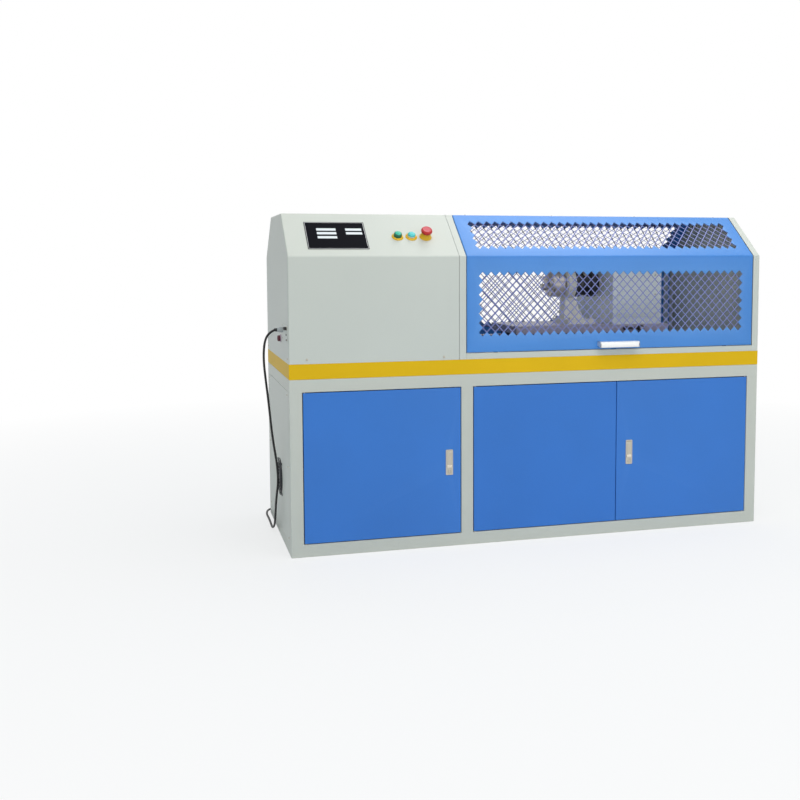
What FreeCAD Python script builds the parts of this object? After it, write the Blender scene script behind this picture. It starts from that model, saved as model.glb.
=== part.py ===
import FreeCAD, Part
import math
import os
import re
import Sketcher
from FreeCAD import Placement, Rotation, Vector

# A bench-height torsional fatigue tester: a tube-frame cabinet with a yellow table edge,
# a drive unit under a pale cover and a test chamber under a blue perforated hood.
# X runs to the right along the machine, Y to the rear, Z up. The origin is on the floor
# under the middle of the cabinet.

# Driving sizes in millimetres
SIZES = {
    # Whole machine
    "overall_length": 2040,
    "overall_depth": 750,
    "overall_height": 1342,
    "break_height": 1170,
    "slant_run": 205,
    "sheet": 2,
    # Cabinet frame and table
    "tube": 50,
    "tube_wall": 3,
    "table_height": 757,
    "band_height": 60,
    "band_thick": 5,
    "plate_thick": 12,
    "bearer_count": 5,
    "left_opening": 640,
    "middle_door_width": 631,
    "door_gap": 3,
    "door_thick": 18,
    "door_pin_radius": 3,
    "door_pin_length": 16,
    "pin_offset": 6,
    "catch_length": 40,
    "catch_depth": 14,
    "catch_height": 22,
    "catch_inset": 20,
    "louvre_count": 7,
    "louvre_length": 180,
    "louvre_width": 6,
    "louvre_pitch": 22,
    "pan_lap": 25,
    # Covers
    "drive_cover_length": 682,
    "portal_width": 29,
    "end_frame_width": 30,
    "sill_height": 24,
    "sill_depth": 30,
    "flange": 20,
    "bend_radius": 6,
    "hood_gap": 2.5,
    "hinge_drop": 7,
    "lug_radius": 5,
    "hinge_pin_radius": 3,
    "hinge_pin_length": 14,
    "hood_lug": 8,
    "top_gap": 6.5,
    "bumper_size": 16,
    "bumper_inset": 120,
    "bumper_count": 3,
    "bumper_play": 0.3,
    "handle_length": 195,
    "handle_height": 28,
    "handle_reach": 32,
    "handle_thick": 8,
    "handle_place": 567,
    "handle_corner": 6,
    "handle_foot": 13,
    "handle_lift": 4,
    # Perforated windows
    "mesh_pitch": 35.9,
    "mesh_rise": 35,
    "mesh_web": 3,
    "mesh_layer": 0.9,
    "mesh_rim": 8,
    "mesh_margin": 54,
    "lower_rows": 7,
    "lower_window_base": 98,
    "upper_rows": 4,
    "upper_rise": 37,
    "upper_window_base": 48,
    # Bed, guides and saddle
    "bed_thick": 40,
    "bed_width": 320,
    "bed_inset": 9,
    "rail_width": 23,
    "rail_height": 22,
    "rail_waist": 15,
    "rail_spread": 220,
    "block_length": 84,
    "block_width": 60,
    "block_inset": 40,
    "block_lift": 5,
    "rail_inset": 10,
    "guide_height": 40,
    "slide_play": 0.3,
    "saddle_start": 289,
    "saddle_length": 720,
    "saddle_width": 330,
    "saddle_thick": 33,
    "axis_height": 1048,
    # Drive unit
    "drive_base_thick": 20,
    "drive_base_width": 280,
    "drive_base_inset": 20,
    "headstock_gap": 62,
    "headstock_length": 200,
    "headstock_width": 220,
    "headstock_top": 85,
    "headstock_foot": 20,
    "headstock_waist": 10,
    "headstock_shoulder": 50,
    "bearing_radius": 55,
    "bearing_width": 25,
    "spindle_radius": 32,
    "nose_radius": 45,
    "nose_flange_radius": 56,
    "nose_flange_thick": 12,
    "portal_hole_radius": 62,
    "nose_play": 1,
    "spindle_tail_radius": 20,
    "spindle_step": 4,
    "coupling_radius": 40,
    "coupling_waist": 5,
    "coupling_waist_length": 12,
    "coupling_length": 56,
    "coupling_gap": 12,
    "coupling_space": 4,
    "output_radius": 16,
    "output_seat": 25,
    "shaft_gap": 2,
    "bracket_thick": 18,
    "bracket_width": 190,
    "bracket_hole": 12,
    "rib_thick": 10,
    "rib_run": 90,
    "rib_drop": 20,
    "reducer_length": 110,
    "reducer_radius": 58,
    "motor_length": 175,
    "motor_side": 130,
    "motor_corner": 12,
    "motor_end": 20,
    "motor_shaft_radius": 14,
    "motor_shaft_reach": 30,
    "running_play": 0.05,
    "end_play": 0.3,
    # Chucks
    "chuck_standoff": 9,
    "chuck_radius": 58,
    "chuck_length": 57,
    "chuck_bore": 15,
    "chuck_chamfer": 3,
    "jaw_width": 16,
    "jaw_rest": 16,
    "jaw_foot": 34,
    "jaw_step": 18,
    "jaw_reach": 26,
    "jaw_seat": 12,
    "jaw_play": 0.2,
    # Tail unit
    "tail_face": 502,
    "stand_thick": 38,
    "stand_web": 60,
    "stand_head_radius": 70,
    "stand_foot_length": 130,
    "stand_foot_width": 180,
    "stand_foot_thick": 20,
    "stand_spread": 62,
    "stand_lean": 10,
    "stand_foot_lap": 12,
    "tail_bearing_wall": 14,
    "tail_shaft_radius": 30,
    "tail_flange_radius": 45,
    "tail_flange_thick": 14,
    "sensor_length": 112,
    "sensor_radius": 60,
    "sensor_groove": 6,
    "sensor_flange": 34,
    "stub_length": 23,
    "box_length": 234,
    "box_width": 300,
    "box_height": 280,
    "box_corner": 30,
    "lid_thick": 10,
    "lid_inset": 12,
    "clamp_place": 580,
    "clamp_stud_radius": 6,
    "clamp_hub_radius": 13,
    "clamp_hub_length": 20,
    "clamp_arm": 75,
    "clamp_arm_width": 10,
    "clamp_arm_thick": 8,
    "clamp_knob_radius": 9,
    # Controls
    "button_radius": 16,
    "button_ring_radius": 24,
    "button_ring_thick": 5,
    "button_collar": 1,
    "button_stem": 12,
    "button_rise": 15,
    "button_dome": 6,
    "switch_depth": 28,
    "button_travel": 4,
    "start_place": 452,
    "stop_place": 508.5,
    "emergency_place": 567.5,
    "control_rise": 120,
    "mushroom_radius": 23,
    "mushroom_base_radius": 25,
    "mushroom_base": 16,
    "mushroom_thick": 14,
    # Door locks
    "lock_width": 30,
    "lock_height": 103,
    "lock_bezel": 2,
    "lock_border": 2,
    "lock_margin": 6,
    "lock_button_rise": 14,
    "lock_back": 4,
    "lock_depth": 20,
    "lock_base_height": 292,
    "left_lock_inset": 36,
    "right_lock_inset": 44,
    "lever_length": 68,
    "lever_width": 22,
    "lever_thick": 7,
    "lever_play": 0.3,
    "lock_button_radius": 6,
    "lock_button_travel": 3,
    # Side fan, sockets and cable
    "fan_height": 253,
    "fan_offset": 40,
    "fan_side": 160,
    "fan_depth": 50,
    "fan_bore": 72,
    "fan_hub": 30,
    "fan_blades": 7,
    "fan_play": 2,
    "fan_strut": 8,
    "fan_motor": 12,
    "fan_blade_width": 24,
    "fan_pin_radius": 3,
    "fan_blade_pitch": 55,
    "guard_radius": 76,
    "guard_bar": 3,
    "guard_rings": 4,
    "guard_lap": 6,
    "panel_front": 300,
    "panel_length": 100,
    "panel_lift": 89,
    "panel_height": 51,
    "port_length": 34,
    "port_height": 12,
    "port_depth": 5,
    "port_inset": 8,
    "round_port_radius": 9,
    "round_port_drop": 16,
    "round_port_place": 70,
    "plug_place": 82,
    "plug_rise": 35,
    "cable_radius": 4.5,
    "plug_length": 34,
    "plug_radius": 11,
    "plug_grip": 14,
    "plug_neck": 2,
    "coil_radius": 50,
    "coil_turns_wide": 2,
    "coil_turns_high": 2,
    # Electrical compartment
    "plate_inset": 10,
    "drive_width": 120,
    "drive_height": 260,
    "drive_depth": 170,
    "controller_width": 190,
    "breaker_count": 5,
    "breaker_width": 18,
    "breaker_height": 80,
    "breaker_depth": 60,
    "rail_plate": 35,
    "rail_depth": 8,
    "controller_depth": 90,
    "controller_height": 200,
    "unit_inset": 30,
    "unit_lift": 80,
    "unit_gap": 50,
    "cooling_slots": 6,
    "cooling_slot_width": 6,
    "cooling_slot_depth": 8,
    "cooling_slot_inset": 12,
    "trunking": 40,
    "trunking_inset": 20,
}

doc = FreeCAD.newDocument("torsional_fatigue_tester")
sheet = doc.addObject("Spreadsheet::Sheet", "Sizes")
for row, (alias, number) in enumerate(SIZES.items(), start=1):
    sheet.set(f"A{row}", alias)
    sheet.set(f"B{row}", str(number))
    sheet.setAlias(f"B{row}", alias)
doc.recompute()

# Places that many pieces share, as expressions of the sizes
LEFT = "(-overall_length / 2)"
RIGHT = "(overall_length / 2)"
FRONT = "(-overall_depth / 2)"
REAR = "(overall_depth / 2)"
FRAME_TOP = "(table_height - band_height)"
POST = "(-overall_length / 2 + tube + left_opening)"
SPLIT = "(-overall_length / 2 + 2 * tube + left_opening + middle_door_width)"
PORTAL = "(-overall_length / 2 + drive_cover_length)"
CHAMBER = "(-overall_length / 2 + drive_cover_length + portal_width)"
END = "(overall_length / 2 - end_frame_width)"
SLOPE = "atan((overall_height - break_height) / slant_run)"
FLAT = "(overall_depth / 2 - slant_run)"
SILL_TOP = "(table_height + sill_height)"
HOOD_BASE = "(table_height + sill_height + hood_gap)"
BED_TOP = "(table_height + bed_thick)"
SADDLE_BASE = "(table_height + bed_thick + guide_height)"
SADDLE_TOP = "(table_height + bed_thick + guide_height + saddle_thick)"
DRIVE_BASE_TOP = "(table_height + drive_base_thick)"
PANEL_BASE = "(table_height + panel_lift)"
HINGE_Y = f"({FLAT} - hinge_drop * tan({SLOPE} / 2))"
HINGE_Z = "(overall_height - hinge_drop)"
HEADSTOCK_FRONT = f"({PORTAL} - headstock_gap)"
HEADSTOCK_REAR = f"({PORTAL} - headstock_gap - headstock_length)"
COUPLING_REAR = f"({HEADSTOCK_REAR} - coupling_gap - coupling_length)"
BRACKET_REAR = f"({COUPLING_REAR} - coupling_space - bracket_thick)"
REDUCER_REAR = f"({BRACKET_REAR} - reducer_length)"
CHUCK_BACK = f"({CHAMBER} + chuck_standoff)"
TAIL_FACE = f"({CHAMBER} + tail_face)"
TAIL_BACK = f"({TAIL_FACE} + chuck_length)"
STAND_FRONT = f"({TAIL_BACK} + tail_flange_thick)"
STAND_BACK = f"({STAND_FRONT} + stand_thick)"
BOX_FACE = f"({STAND_BACK} + sensor_length + stub_length)"

pieces = []


def bound(text):
    """The expression with every size name pointed at its cell of the sheet."""
    return re.sub(r"[a-z][a-z_0-9]*", lambda word: cell(word.group()), str(text))


def cell(word):
    """The sheet reference of one word, if it names a size."""
    return f"Sizes.{word}" if word in SIZES else word


def place(item, corner):
    """Bind the position of an object to three expressions."""
    for axis, text in zip("xyz", corner):
        item.setExpression(f"Placement.Base.{axis}", bound(text))
    return item


def block(corner, extent):
    """A plain block from its lowest corner and its three sides."""
    item = doc.addObject("Part::Box", "Block")
    for side, text in zip(("Length", "Width", "Height"), extent):
        item.setExpression(side, bound(text))
    return place(item, corner)


def rod(start, axis, radius, length):
    """A cylinder from the centre of its first end, along X, Y or Z."""
    turns = {
        "X": Rotation(Vector(0, 1, 0), 90),
        "Y": Rotation(Vector(1, 0, 0), -90),
        "Z": Rotation(),
    }
    item = doc.addObject("Part::Cylinder", "Rod")
    item.Placement = Placement(Vector(), turns[axis])
    item.setExpression("Radius", bound(radius))
    item.setExpression("Height", bound(length))
    return place(item, start)


def taper(start, radius, top_radius, length):
    """A cone frustum standing on Z."""
    item = doc.addObject("Part::Cone", "Taper")
    for side, text in zip(("Radius1", "Radius2", "Height"), (radius, top_radius, length)):
        item.setExpression(side, bound(text))
    return place(item, start)


def group(*items):
    """Several solids kept apart in one object."""
    item = doc.addObject("Part::Compound", "Group")
    item.Links = list(items)
    return item


def joined(*items):
    """Several solids welded into one."""
    item = doc.addObject("Part::MultiFuse", "Joined")
    item.Shapes = list(items)
    item.Refine = True
    return item


def less(base, *tools):
    """A solid with other solids taken out of it."""
    item = doc.addObject("Part::Cut", "Less")
    item.Base = base
    item.Tool = tools[0] if len(tools) == 1 else group(*tools)
    item.Refine = True
    return item


def keep(item, name):
    """Name a finished sub-part and put it on the list of those written out."""
    item.Label = name
    pieces.append(item)
    return item


def outline(body, role, points):
    """A closed sketch of straight lines on an origin plane, each corner bound to the sizes."""
    plane = next(item for item in body.Origin.OriginFeatures if item.Role == role)
    sketch = body.newObject("Sketcher::SketchObject", "Outline")
    sketch.AttachmentSupport = (plane, [""])
    sketch.MapMode = "FlatFace"
    count = len(points)
    loose = [Vector(math.cos(i * math.tau / count), math.sin(i * math.tau / count), 0) for i in range(count)]
    for i in range(count):
        sketch.addGeometry(Part.LineSegment(loose[i], loose[(i + 1) % count]), False)
    for i in range(count):
        sketch.addConstraint(Sketcher.Constraint("Coincident", i, 2, (i + 1) % count, 1))
    for i, corner in enumerate(points):
        for kind, text, start in zip(("DistanceX", "DistanceY"), corner, (loose[i].x, loose[i].y)):
            index = sketch.addConstraint(Sketcher.Constraint(kind, -1, 1, i, 1, start))
            sketch.setExpression(f"Constraints[{index}]", bound(text))
    return sketch


def padded(role, points, length, start=("0", "0", "0"), midplane=False):
    """A body padded from one outline: YZ_Plane pads to +X, XY_Plane to +Z, XZ_Plane to -Y."""
    body = doc.addObject("PartDesign::Body", "Body")
    sketch = outline(body, role, points)
    pad = body.newObject("PartDesign::Pad", "Pad")
    pad.Profile = sketch
    pad.setExpression("Length", bound(length))
    if midplane:
        pad.SideType = "Symmetric"
    return place(body, start)


def turned(points, start=("0", "0", "0")):
    """A body turned about the X axis from (along, radius) points."""
    body = doc.addObject("PartDesign::Body", "Turned")
    sketch = outline(body, "XZ_Plane", points)
    ring = body.newObject("PartDesign::Revolution", "Revolution")
    ring.Profile = sketch
    ring.ReferenceAxis = (sketch, ["H_Axis"])
    ring.Angle = 360
    return place(body, start)


def stepped(*steps):
    """Turning points from (start, end, radius) steps that follow one another along X."""
    points = [(steps[0][0], "0")]
    for start, end, radius in steps:
        points += [(start, radius), (end, radius)]
    return points + [(steps[-1][1], "0")]


def ring_points(start, end, inner, outer):
    """Turning points of a plain ring."""
    return [(start, inner), (start, outer), (end, outer), (end, inner)]


def pocket(body, role, points, depth, offset="0", reverse=False):
    """Cut a straight pocket into a body, and return its feature."""
    sketch = outline(body, role, points)
    sketch.setExpression("AttachmentOffset.Base.z", bound(offset))
    cutter = body.newObject("PartDesign::Pocket", "Pocket")
    cutter.Profile = sketch
    cutter.setExpression("Length", bound(depth))
    cutter.Reversed = reverse
    return cutter


def rectangle(left, right, bottom, top):
    """The four corners of a rectangle."""
    return [(left, bottom), (right, bottom), (right, top), (left, top)]


def on_slant(item, along, rise):
    """Lay an object made flat about its own origin onto the front slant."""
    item.Placement = Placement(Vector(), Rotation(Vector(1, 0, 0), 1))
    item.setExpression("Placement.Rotation.Angle", bound(SLOPE))
    return place(item, (
        along,
        f"{FRONT} + ({rise}) * cos({SLOPE})",
        f"break_height + ({rise}) * sin({SLOPE})",
    ))


def section(inset, bottom):
    """The cross-section of the covers, drawn in from the outside by an inset."""
    side = f"(overall_depth / 2 - {inset})"
    bend = f"break_height - {inset} * tan(45 deg - {SLOPE} / 2)"
    half = f"({FLAT} - {inset} * tan({SLOPE} / 2))"
    top = f"overall_height - {inset}"
    return [
        (f"-{side}", bottom), (f"-{side}", bend), (f"-{half}", top),
        (half, top), (side, bend), (side, bottom),
    ]


def half_section(sign, depth, bottom, end):
    """The front or rear half of the cover section as a strip, ending beside the flat top."""
    outer_end = f"{sign} * ({FLAT} + {end})"
    fall = f"({end}) * tan({SLOPE})"
    return [
        (f"{sign} * overall_depth / 2", bottom),
        (f"{sign} * overall_depth / 2", "break_height"),
        (outer_end, f"overall_height - {fall}"),
        (outer_end, f"overall_height - {fall} - {depth} / cos({SLOPE})"),
        (f"{sign} * (overall_depth / 2 - {depth})", f"break_height - {depth} * tan(45 deg - {SLOPE} / 2)"),
        (f"{sign} * (overall_depth / 2 - {depth})", bottom),
    ]


# Cabinet


def tube_along(axis, corner, length):
    """One square frame tube, hollow from end to end."""
    sides = {"X": (length, "tube", "tube"), "Y": ("tube", length, "tube"), "Z": ("tube", "tube", length)}
    inner = [side if side == length else "tube - 2 * tube_wall" for side in sides[axis]]
    step = [text if side == length else f"{text} + tube_wall" for text, side in zip(corner, sides[axis])]
    return less(block(corner, sides[axis]), block(step, inner))


def frame_tubes():
    """Posts, rails and cross rails of the welded frame, each tube a solid of its own."""
    tubes = []
    rear_face = f"{REAR} - tube"
    for front in (FRONT, rear_face):
        for left in (LEFT, POST, f"{RIGHT} - tube"):
            tubes.append(tube_along("Z", (left, front, "0"), FRAME_TOP))
        for low in ("0", f"{FRAME_TOP} - tube"):
            tubes.append(tube_along("X", (f"{LEFT} + tube", front, low), "left_opening"))
            right_run = "overall_length - 3 * tube - left_opening"
            tubes.append(tube_along("X", (f"{POST} + tube", front, low), right_run))
    for low in ("0", f"{FRAME_TOP} - tube"):
        for left in (LEFT, POST, f"{RIGHT} - tube"):
            tubes.append(tube_along("Y", (left, f"{FRONT} + tube", low), "overall_depth - 2 * tube"))
    tubes.append(tube_along("Y", ("-tube / 2", f"{FRONT} + tube", "0"), "overall_depth - 2 * tube"))
    return tubes


def opening_height():
    """Clear height between the bottom and top rails."""
    return f"({FRAME_TOP} - 2 * tube)"


def side_panel(left):
    """A flush side sheet between posts and rails."""
    return block((left, f"{FRONT} + tube", "tube"), ("sheet", "overall_depth - 2 * tube", opening_height()))


def cabinet_panels():
    """Side, rear and floor sheets and the wall between the two compartments."""
    hole = rod((f"{LEFT} - 1", "-fan_offset", "fan_height"), "X", "fan_bore", "sheet + 2")
    sides = [less(side_panel(LEFT), hole), side_panel(f"{RIGHT} - sheet")]
    spans = ((f"{LEFT} + tube", "left_opening"), (f"{POST} + tube", f"{RIGHT} - {POST} - 2 * tube"))
    rears = [block((left, f"{REAR} - sheet", "tube"), (length, "sheet", opening_height()))
             for left, length in spans]
    slots = []
    for i in range(1, SIZES["louvre_count"] + 1):
        corner = (f"{POST} - left_opening / 2 - louvre_length / 2", f"{REAR} - 2 * sheet",
                  f"{FRAME_TOP} - 2 * tube - {i} * louvre_pitch")
        slots.append(block(corner, ("louvre_length", "3 * sheet", "louvre_width")))
    keep(group(*sides, less(rears[0], *slots), rears[1]), "cabinet_panels")
    pans = [block((left, f"{FRONT} + pan_lap", "tube"), (length, "overall_depth - 2 * pan_lap", "sheet"))
            for left, length in spans]
    wall = block((f"{POST} + tube / 2 - sheet / 2", f"{FRONT} + tube", "tube"),
                 ("sheet", "overall_depth - 2 * tube", opening_height()))
    keep(group(*pans, wall), "inner_panels")


def table():
    """The yellow edge band and the steel plate in it, and the cross bearers under the plate."""
    outer = block((LEFT, FRONT, FRAME_TOP), ("overall_length", "overall_depth", "band_height"))
    inner = block((f"{LEFT} + band_thick", f"{FRONT} + band_thick", FRAME_TOP),
                  ("overall_length - 2 * band_thick", "overall_depth - 2 * band_thick", "band_height"))
    keep(less(outer, inner), "table_band")
    plate = block((f"{LEFT} + band_thick", f"{FRONT} + band_thick", "table_height - plate_thick"),
                  ("overall_length - 2 * band_thick", "overall_depth - 2 * band_thick", "plate_thick"))
    keep(plate, "table_plate")
    count = SIZES["bearer_count"]
    bearers = []
    for i in range(count):
        left = f"{LEFT} + band_thick + {i} * (overall_length - 2 * band_thick - tube) / {count - 1}"
        corner = (left, f"{FRONT} + band_thick", FRAME_TOP)
        rise = "band_height - plate_thick"
        outer = block(corner, ("tube", "overall_depth - 2 * band_thick", rise))
        hollow = block((f"{left} + tube_wall", corner[1], f"{FRAME_TOP} + tube_wall"),
                       ("tube - 2 * tube_wall", "overall_depth - 2 * band_thick", f"{rise} - 2 * tube_wall"))
        bearers.append(less(outer, hollow))
    return bearers


def doors():
    """Three tray doors, their pivot pins in the rails and their catches."""
    low = "(tube + door_gap)"
    rise = f"({opening_height()} - 2 * door_gap)"
    edges = {
        "left_door": (f"({LEFT} + tube + door_gap)", f"({POST} - door_gap)", 1),
        "middle_door": (f"({POST} + tube + door_gap)", f"({SPLIT} - door_gap / 2)", 1),
        "right_door": (f"({SPLIT} + door_gap / 2)", f"({RIGHT} - tube - door_gap)", -1),
    }
    locks = {
        "left_door": f"({POST} - left_lock_inset - lock_width)",
        "right_door": f"({SPLIT} + right_lock_inset)",
    }
    pins, catches = [], []
    pin_y = f"{FRONT} + pin_offset"
    for name, (left, right, side) in edges.items():
        outer = rectangle(left, right, FRONT, f"{FRONT} + door_thick")
        body = padded("XY_Plane", outer, rise, ("0", "0", low))
        inner = rectangle(f"{left} + sheet", f"{right} - sheet", "sheet", f"{rise} - sheet")
        pocket(body, "XZ_Plane", inner, "door_thick - sheet", f"{REAR} - door_thick", reverse=True)
        hinge = f"{left} + pin_offset" if side > 0 else f"{right} - pin_offset"
        free = f"{right} - catch_inset - catch_length" if side > 0 else f"{left} + catch_inset"
        hole = rod((hinge, pin_y, low), "Z", "door_pin_radius + running_play", rise)
        if name in locks:
            corner = (f"{locks[name]} + lock_border", f"{FRONT} - 1", "lock_base_height + lock_border")
            cutout = block(corner, ("lock_width - 2 * lock_border", "sheet + 2",
                                    "lock_height - 2 * lock_border"))
            case = lock(name.replace("door", "lock"), locks[name])
            keep(group(less(body, hole, cutout), case), name)
        else:
            keep(less(body, hole), name)
        for start in ("tube", f"{FRAME_TOP} - tube - door_pin_length"):
            pins.append(rod((hinge, pin_y, start), "Z", "door_pin_radius", "door_pin_length"))
        corner = (free, f"{FRONT} + door_thick + bumper_play", f"{FRAME_TOP} - tube - catch_height")
        catches.append(block(corner, ("catch_length", "catch_depth", "catch_height")))
    return pins, catches


def lock(name, left):
    """A flush lock: its case in the door, the lever that swings out and the round button under it."""
    front = f"({FRONT} - lock_bezel)"
    bezel = block((left, front, "lock_base_height"), ("lock_width", "lock_bezel", "lock_height"))
    case = block((f"{left} + lock_border", FRONT, "lock_base_height + lock_border"),
                 ("lock_width - 2 * lock_border", "lock_depth", "lock_height - 2 * lock_border"))
    middle = f"{left} + lock_width / 2"
    top = "(lock_base_height + lock_height - lock_margin)"
    recess = block(
        (f"{middle} - lever_width / 2 - lever_play", front, f"{top} - lever_length - 2 * lever_play"),
        ("lever_width + 2 * lever_play", "lever_thick + lever_play", "lever_length + 2 * lever_play"),
    )
    button_base = "lock_base_height + lock_button_rise"
    well = rod((middle, front, button_base), "Y", "lock_button_radius + lever_play", "lock_depth - lock_back")
    half = "lever_thick / 2"
    flat = f"0.4 * {half}"
    lever = padded("YZ_Plane", [
        (f"-{half}", f"-lever_length + {half}"), (half, f"-lever_length + {half}"),
        (half, flat), (flat, half), (f"-{flat}", half), (f"-{half}", flat),
    ], "lever_width", (f"{middle} - lever_width / 2", f"{front} + {half}", f"{top} - lever_play - {half}"))
    keep(lever, f"{name}_lever")
    button = rod((middle, f"{front} - 1", button_base), "Y", "lock_button_radius",
                 "lock_depth - lock_button_travel - lock_back")
    keep(button, f"{name}_button")
    return less(joined(bezel, case), recess, well)


# Covers and chamber


def drive_cover():
    """The pale folded cover of the drive unit, closed at its left end."""
    body = padded("YZ_Plane", section("0", "table_height"), "drive_cover_length", (LEFT, "0", "0"))
    doc.recompute()
    pad = body.Tip
    bends = [
        f"Edge{i}" for i, edge in enumerate(pad.Shape.Edges, start=1)
        if edge.BoundBox.ZMin > SIZES["table_height"] + 1 and edge.BoundBox.XLength > 1
    ]
    fold = body.newObject("PartDesign::Fillet", "Bends")
    fold.Base = (pad, bends)
    fold.setExpression("Radius", bound("bend_radius"))
    inner = section("sheet", "table_height - 1")
    pocket(body, "YZ_Plane", inner, "drive_cover_length", "sheet", reverse=True)
    holes = []
    for along in ("start_place", "stop_place", "emergency_place"):
        hole = rod(("0", "0", "-button_stem"), "Z", "button_radius + button_collar", "2 * button_stem")
        holes.append(on_slant(group(hole), f"{LEFT} + {along}", "control_rise"))
    cover = less(body, *holes)
    keep(cover, "drive_cover")


def end_walls():
    """The portal between drive and chamber, and the frame that closes the right end."""
    portal = padded("YZ_Plane", section("0", "table_height"), "portal_width", (PORTAL, "0", "0"))
    inner = section("sheet", "table_height - 1")
    pocket(portal, "YZ_Plane", inner, "portal_width - sheet", "0", reverse=True)
    hole = rod((PORTAL, "0", "axis_height"), "X", "portal_hole_radius", "portal_width + 2")
    keep(less(portal, hole), "portal_wall")
    frame = padded("YZ_Plane", section("0", "table_height"), "end_frame_width", (END, "0", "0"))
    pocket(frame, "YZ_Plane", inner, "end_frame_width - sheet", "0", reverse=True)
    keep(frame, "right_end_frame")
    width = f"({END} - {CHAMBER})"
    sills = []
    for front in (FRONT, f"{REAR} - sill_depth"):
        outer = block((CHAMBER, front, "table_height"), (width, "sill_depth", "sill_height"))
        inner = block((CHAMBER, f"{front} + sheet", "table_height"),
                      (width, "sill_depth - 2 * sheet", "sill_height - sheet"))
        sills.append(less(outer, inner))
    keep(group(*sills), "chamber_sills")
    body = padded("YZ_Plane", [
        (f"-({HINGE_Y} - top_gap)", "overall_height"), (f"-({HINGE_Y} - top_gap)", "overall_height - flange"),
        (f"-({HINGE_Y} - top_gap - sheet)", "overall_height - flange"),
        (f"-({HINGE_Y} - top_gap - sheet)", "overall_height - sheet"),
        (FLAT, "overall_height - sheet"), (FLAT, "overall_height"),
    ], width, (CHAMBER, "0", "0"))
    keep(body, "top_panel")
    count = SIZES["bumper_count"]
    pads = []
    for i in range(count):
        left = f"{CHAMBER} + bumper_inset + {i} * ({width} - 2 * bumper_inset - bumper_size) / {count - 1}"
        corner = (left, f"{FRONT} + sill_depth / 2 - bumper_size / 2", SILL_TOP)
        pads.append(block(corner, ("bumper_size", "bumper_size", "hood_gap - bumper_play")))
    return pads


def zigzag(columns, rows, pitch, rise, web):
    """The outline of a field of diamond holes, about its own centre."""
    left = -columns * pitch / 2
    base = -rows * rise / 2
    corners = []
    for i in range(columns):
        corners.append(Vector(left + (i + 0.5) * pitch, base + web / 2, 0))
        corners.append(Vector(left + (i + 1) * pitch, base + rise / 2, 0))
    corners.pop()
    for i in range(rows):
        corners.append(Vector(-left - web / 2, base + (i + 0.5) * rise, 0))
        corners.append(Vector(-left - pitch / 2, base + (i + 1) * rise, 0))
    corners.pop()
    corners += [Vector(-point.x, -point.y, 0) for point in corners]
    return Part.Face(Part.makePolygon(corners + [corners[0]]))


def lattice(columns, rows, pitch, rise):
    """Crossed flat bars in two layers on one rim, which leave diamond openings."""
    web, layer, rim = SIZES["mesh_web"], SIZES["mesh_layer"], SIZES["mesh_rim"]
    width, height = columns * pitch, rows * rise
    field = Part.makePlane(width, height, Vector(-width / 2, -height / 2, 0))
    corner = Vector(-width / 2 - rim, -height / 2 - rim, 0)
    rim_face = Part.makePlane(width + 2 * rim, height + 2 * rim, corner)
    slope = rise / pitch
    half_bar = web / 2 * math.hypot(1, slope) / slope
    reach = height / slope
    slots = []
    for i in range(columns + math.ceil(reach / pitch) + 1):
        start = -width / 2 - reach + i * pitch
        low, high = start + half_bar, start + pitch - half_bar
        corners = [Vector(low, -height / 2, 0), Vector(high, -height / 2, 0),
                   Vector(high + reach, height / 2, 0), Vector(low + reach, height / 2, 0)]
        slots.append(Part.Face(Part.makePolygon(corners + [corners[0]])))
    bars = rim_face.cut(field.common(Part.makeCompound(slots)))
    first = bars.extrude(Vector(0, 0, -layer))
    second = bars.mirror(Vector(), Vector(1, 0, 0)).extrude(Vector(0, 0, -layer))
    gap = layer / 5
    second.translate(Vector(0, 0, -layer - gap))
    rim_ring = rim_face.cut(field).extrude(Vector(0, 0, -gap))
    rim_ring.translate(Vector(0, 0, -layer))
    return first.fuse([rim_ring, second]).removeSplitter()


def shaped(shape, name="Shape"):
    """An object that holds a shape worked out from the sizes."""
    item = doc.addObject("Part::Feature", name)
    item.Shape = shape
    return item


def window_fields():
    """Columns, rows, pitch and rise of the lower and the slanted window."""
    clear = SIZES["overall_length"] - SIZES["drive_cover_length"] - SIZES["portal_width"]
    clear -= SIZES["end_frame_width"] + 2 * SIZES["mesh_margin"]
    columns = int(clear / SIZES["mesh_pitch"])
    lower = (columns, SIZES["lower_rows"], SIZES["mesh_pitch"], SIZES["mesh_rise"])
    upper = (columns, SIZES["upper_rows"], SIZES["mesh_pitch"], SIZES["upper_rise"])
    return lower, upper


def stand_up(item, side, depth):
    """Stand a flat field in the vertical wall at the front (-1) or the rear (1)."""
    item.Placement = Placement(Vector(), Rotation(Vector(1, 0, 0), -90 * side))
    return place(item, (
        f"({CHAMBER} + {END}) / 2",
        f"{side} * (overall_depth / 2 - {depth})",
        "table_height + lower_window_base + lower_rows * mesh_rise / 2",
    ))


def lean(item, side, depth):
    """Lay a flat field in the slanted wall at the front (-1) or the rear (1)."""
    rise = "(upper_window_base + upper_rows * upper_rise / 2)"
    item.Placement = Placement(Vector(), Rotation(Vector(1, 0, 0), 1))
    item.setExpression("Placement.Rotation.Angle", bound(f"{-side} * {SLOPE}"))
    return place(item, (
        f"({CHAMBER} + {END}) / 2",
        f"{side} * (overall_depth / 2 - {rise} * cos({SLOPE}) - {depth} * sin({SLOPE}))",
        f"break_height + {rise} * sin({SLOPE}) - {depth} * cos({SLOPE})",
    ))


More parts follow.
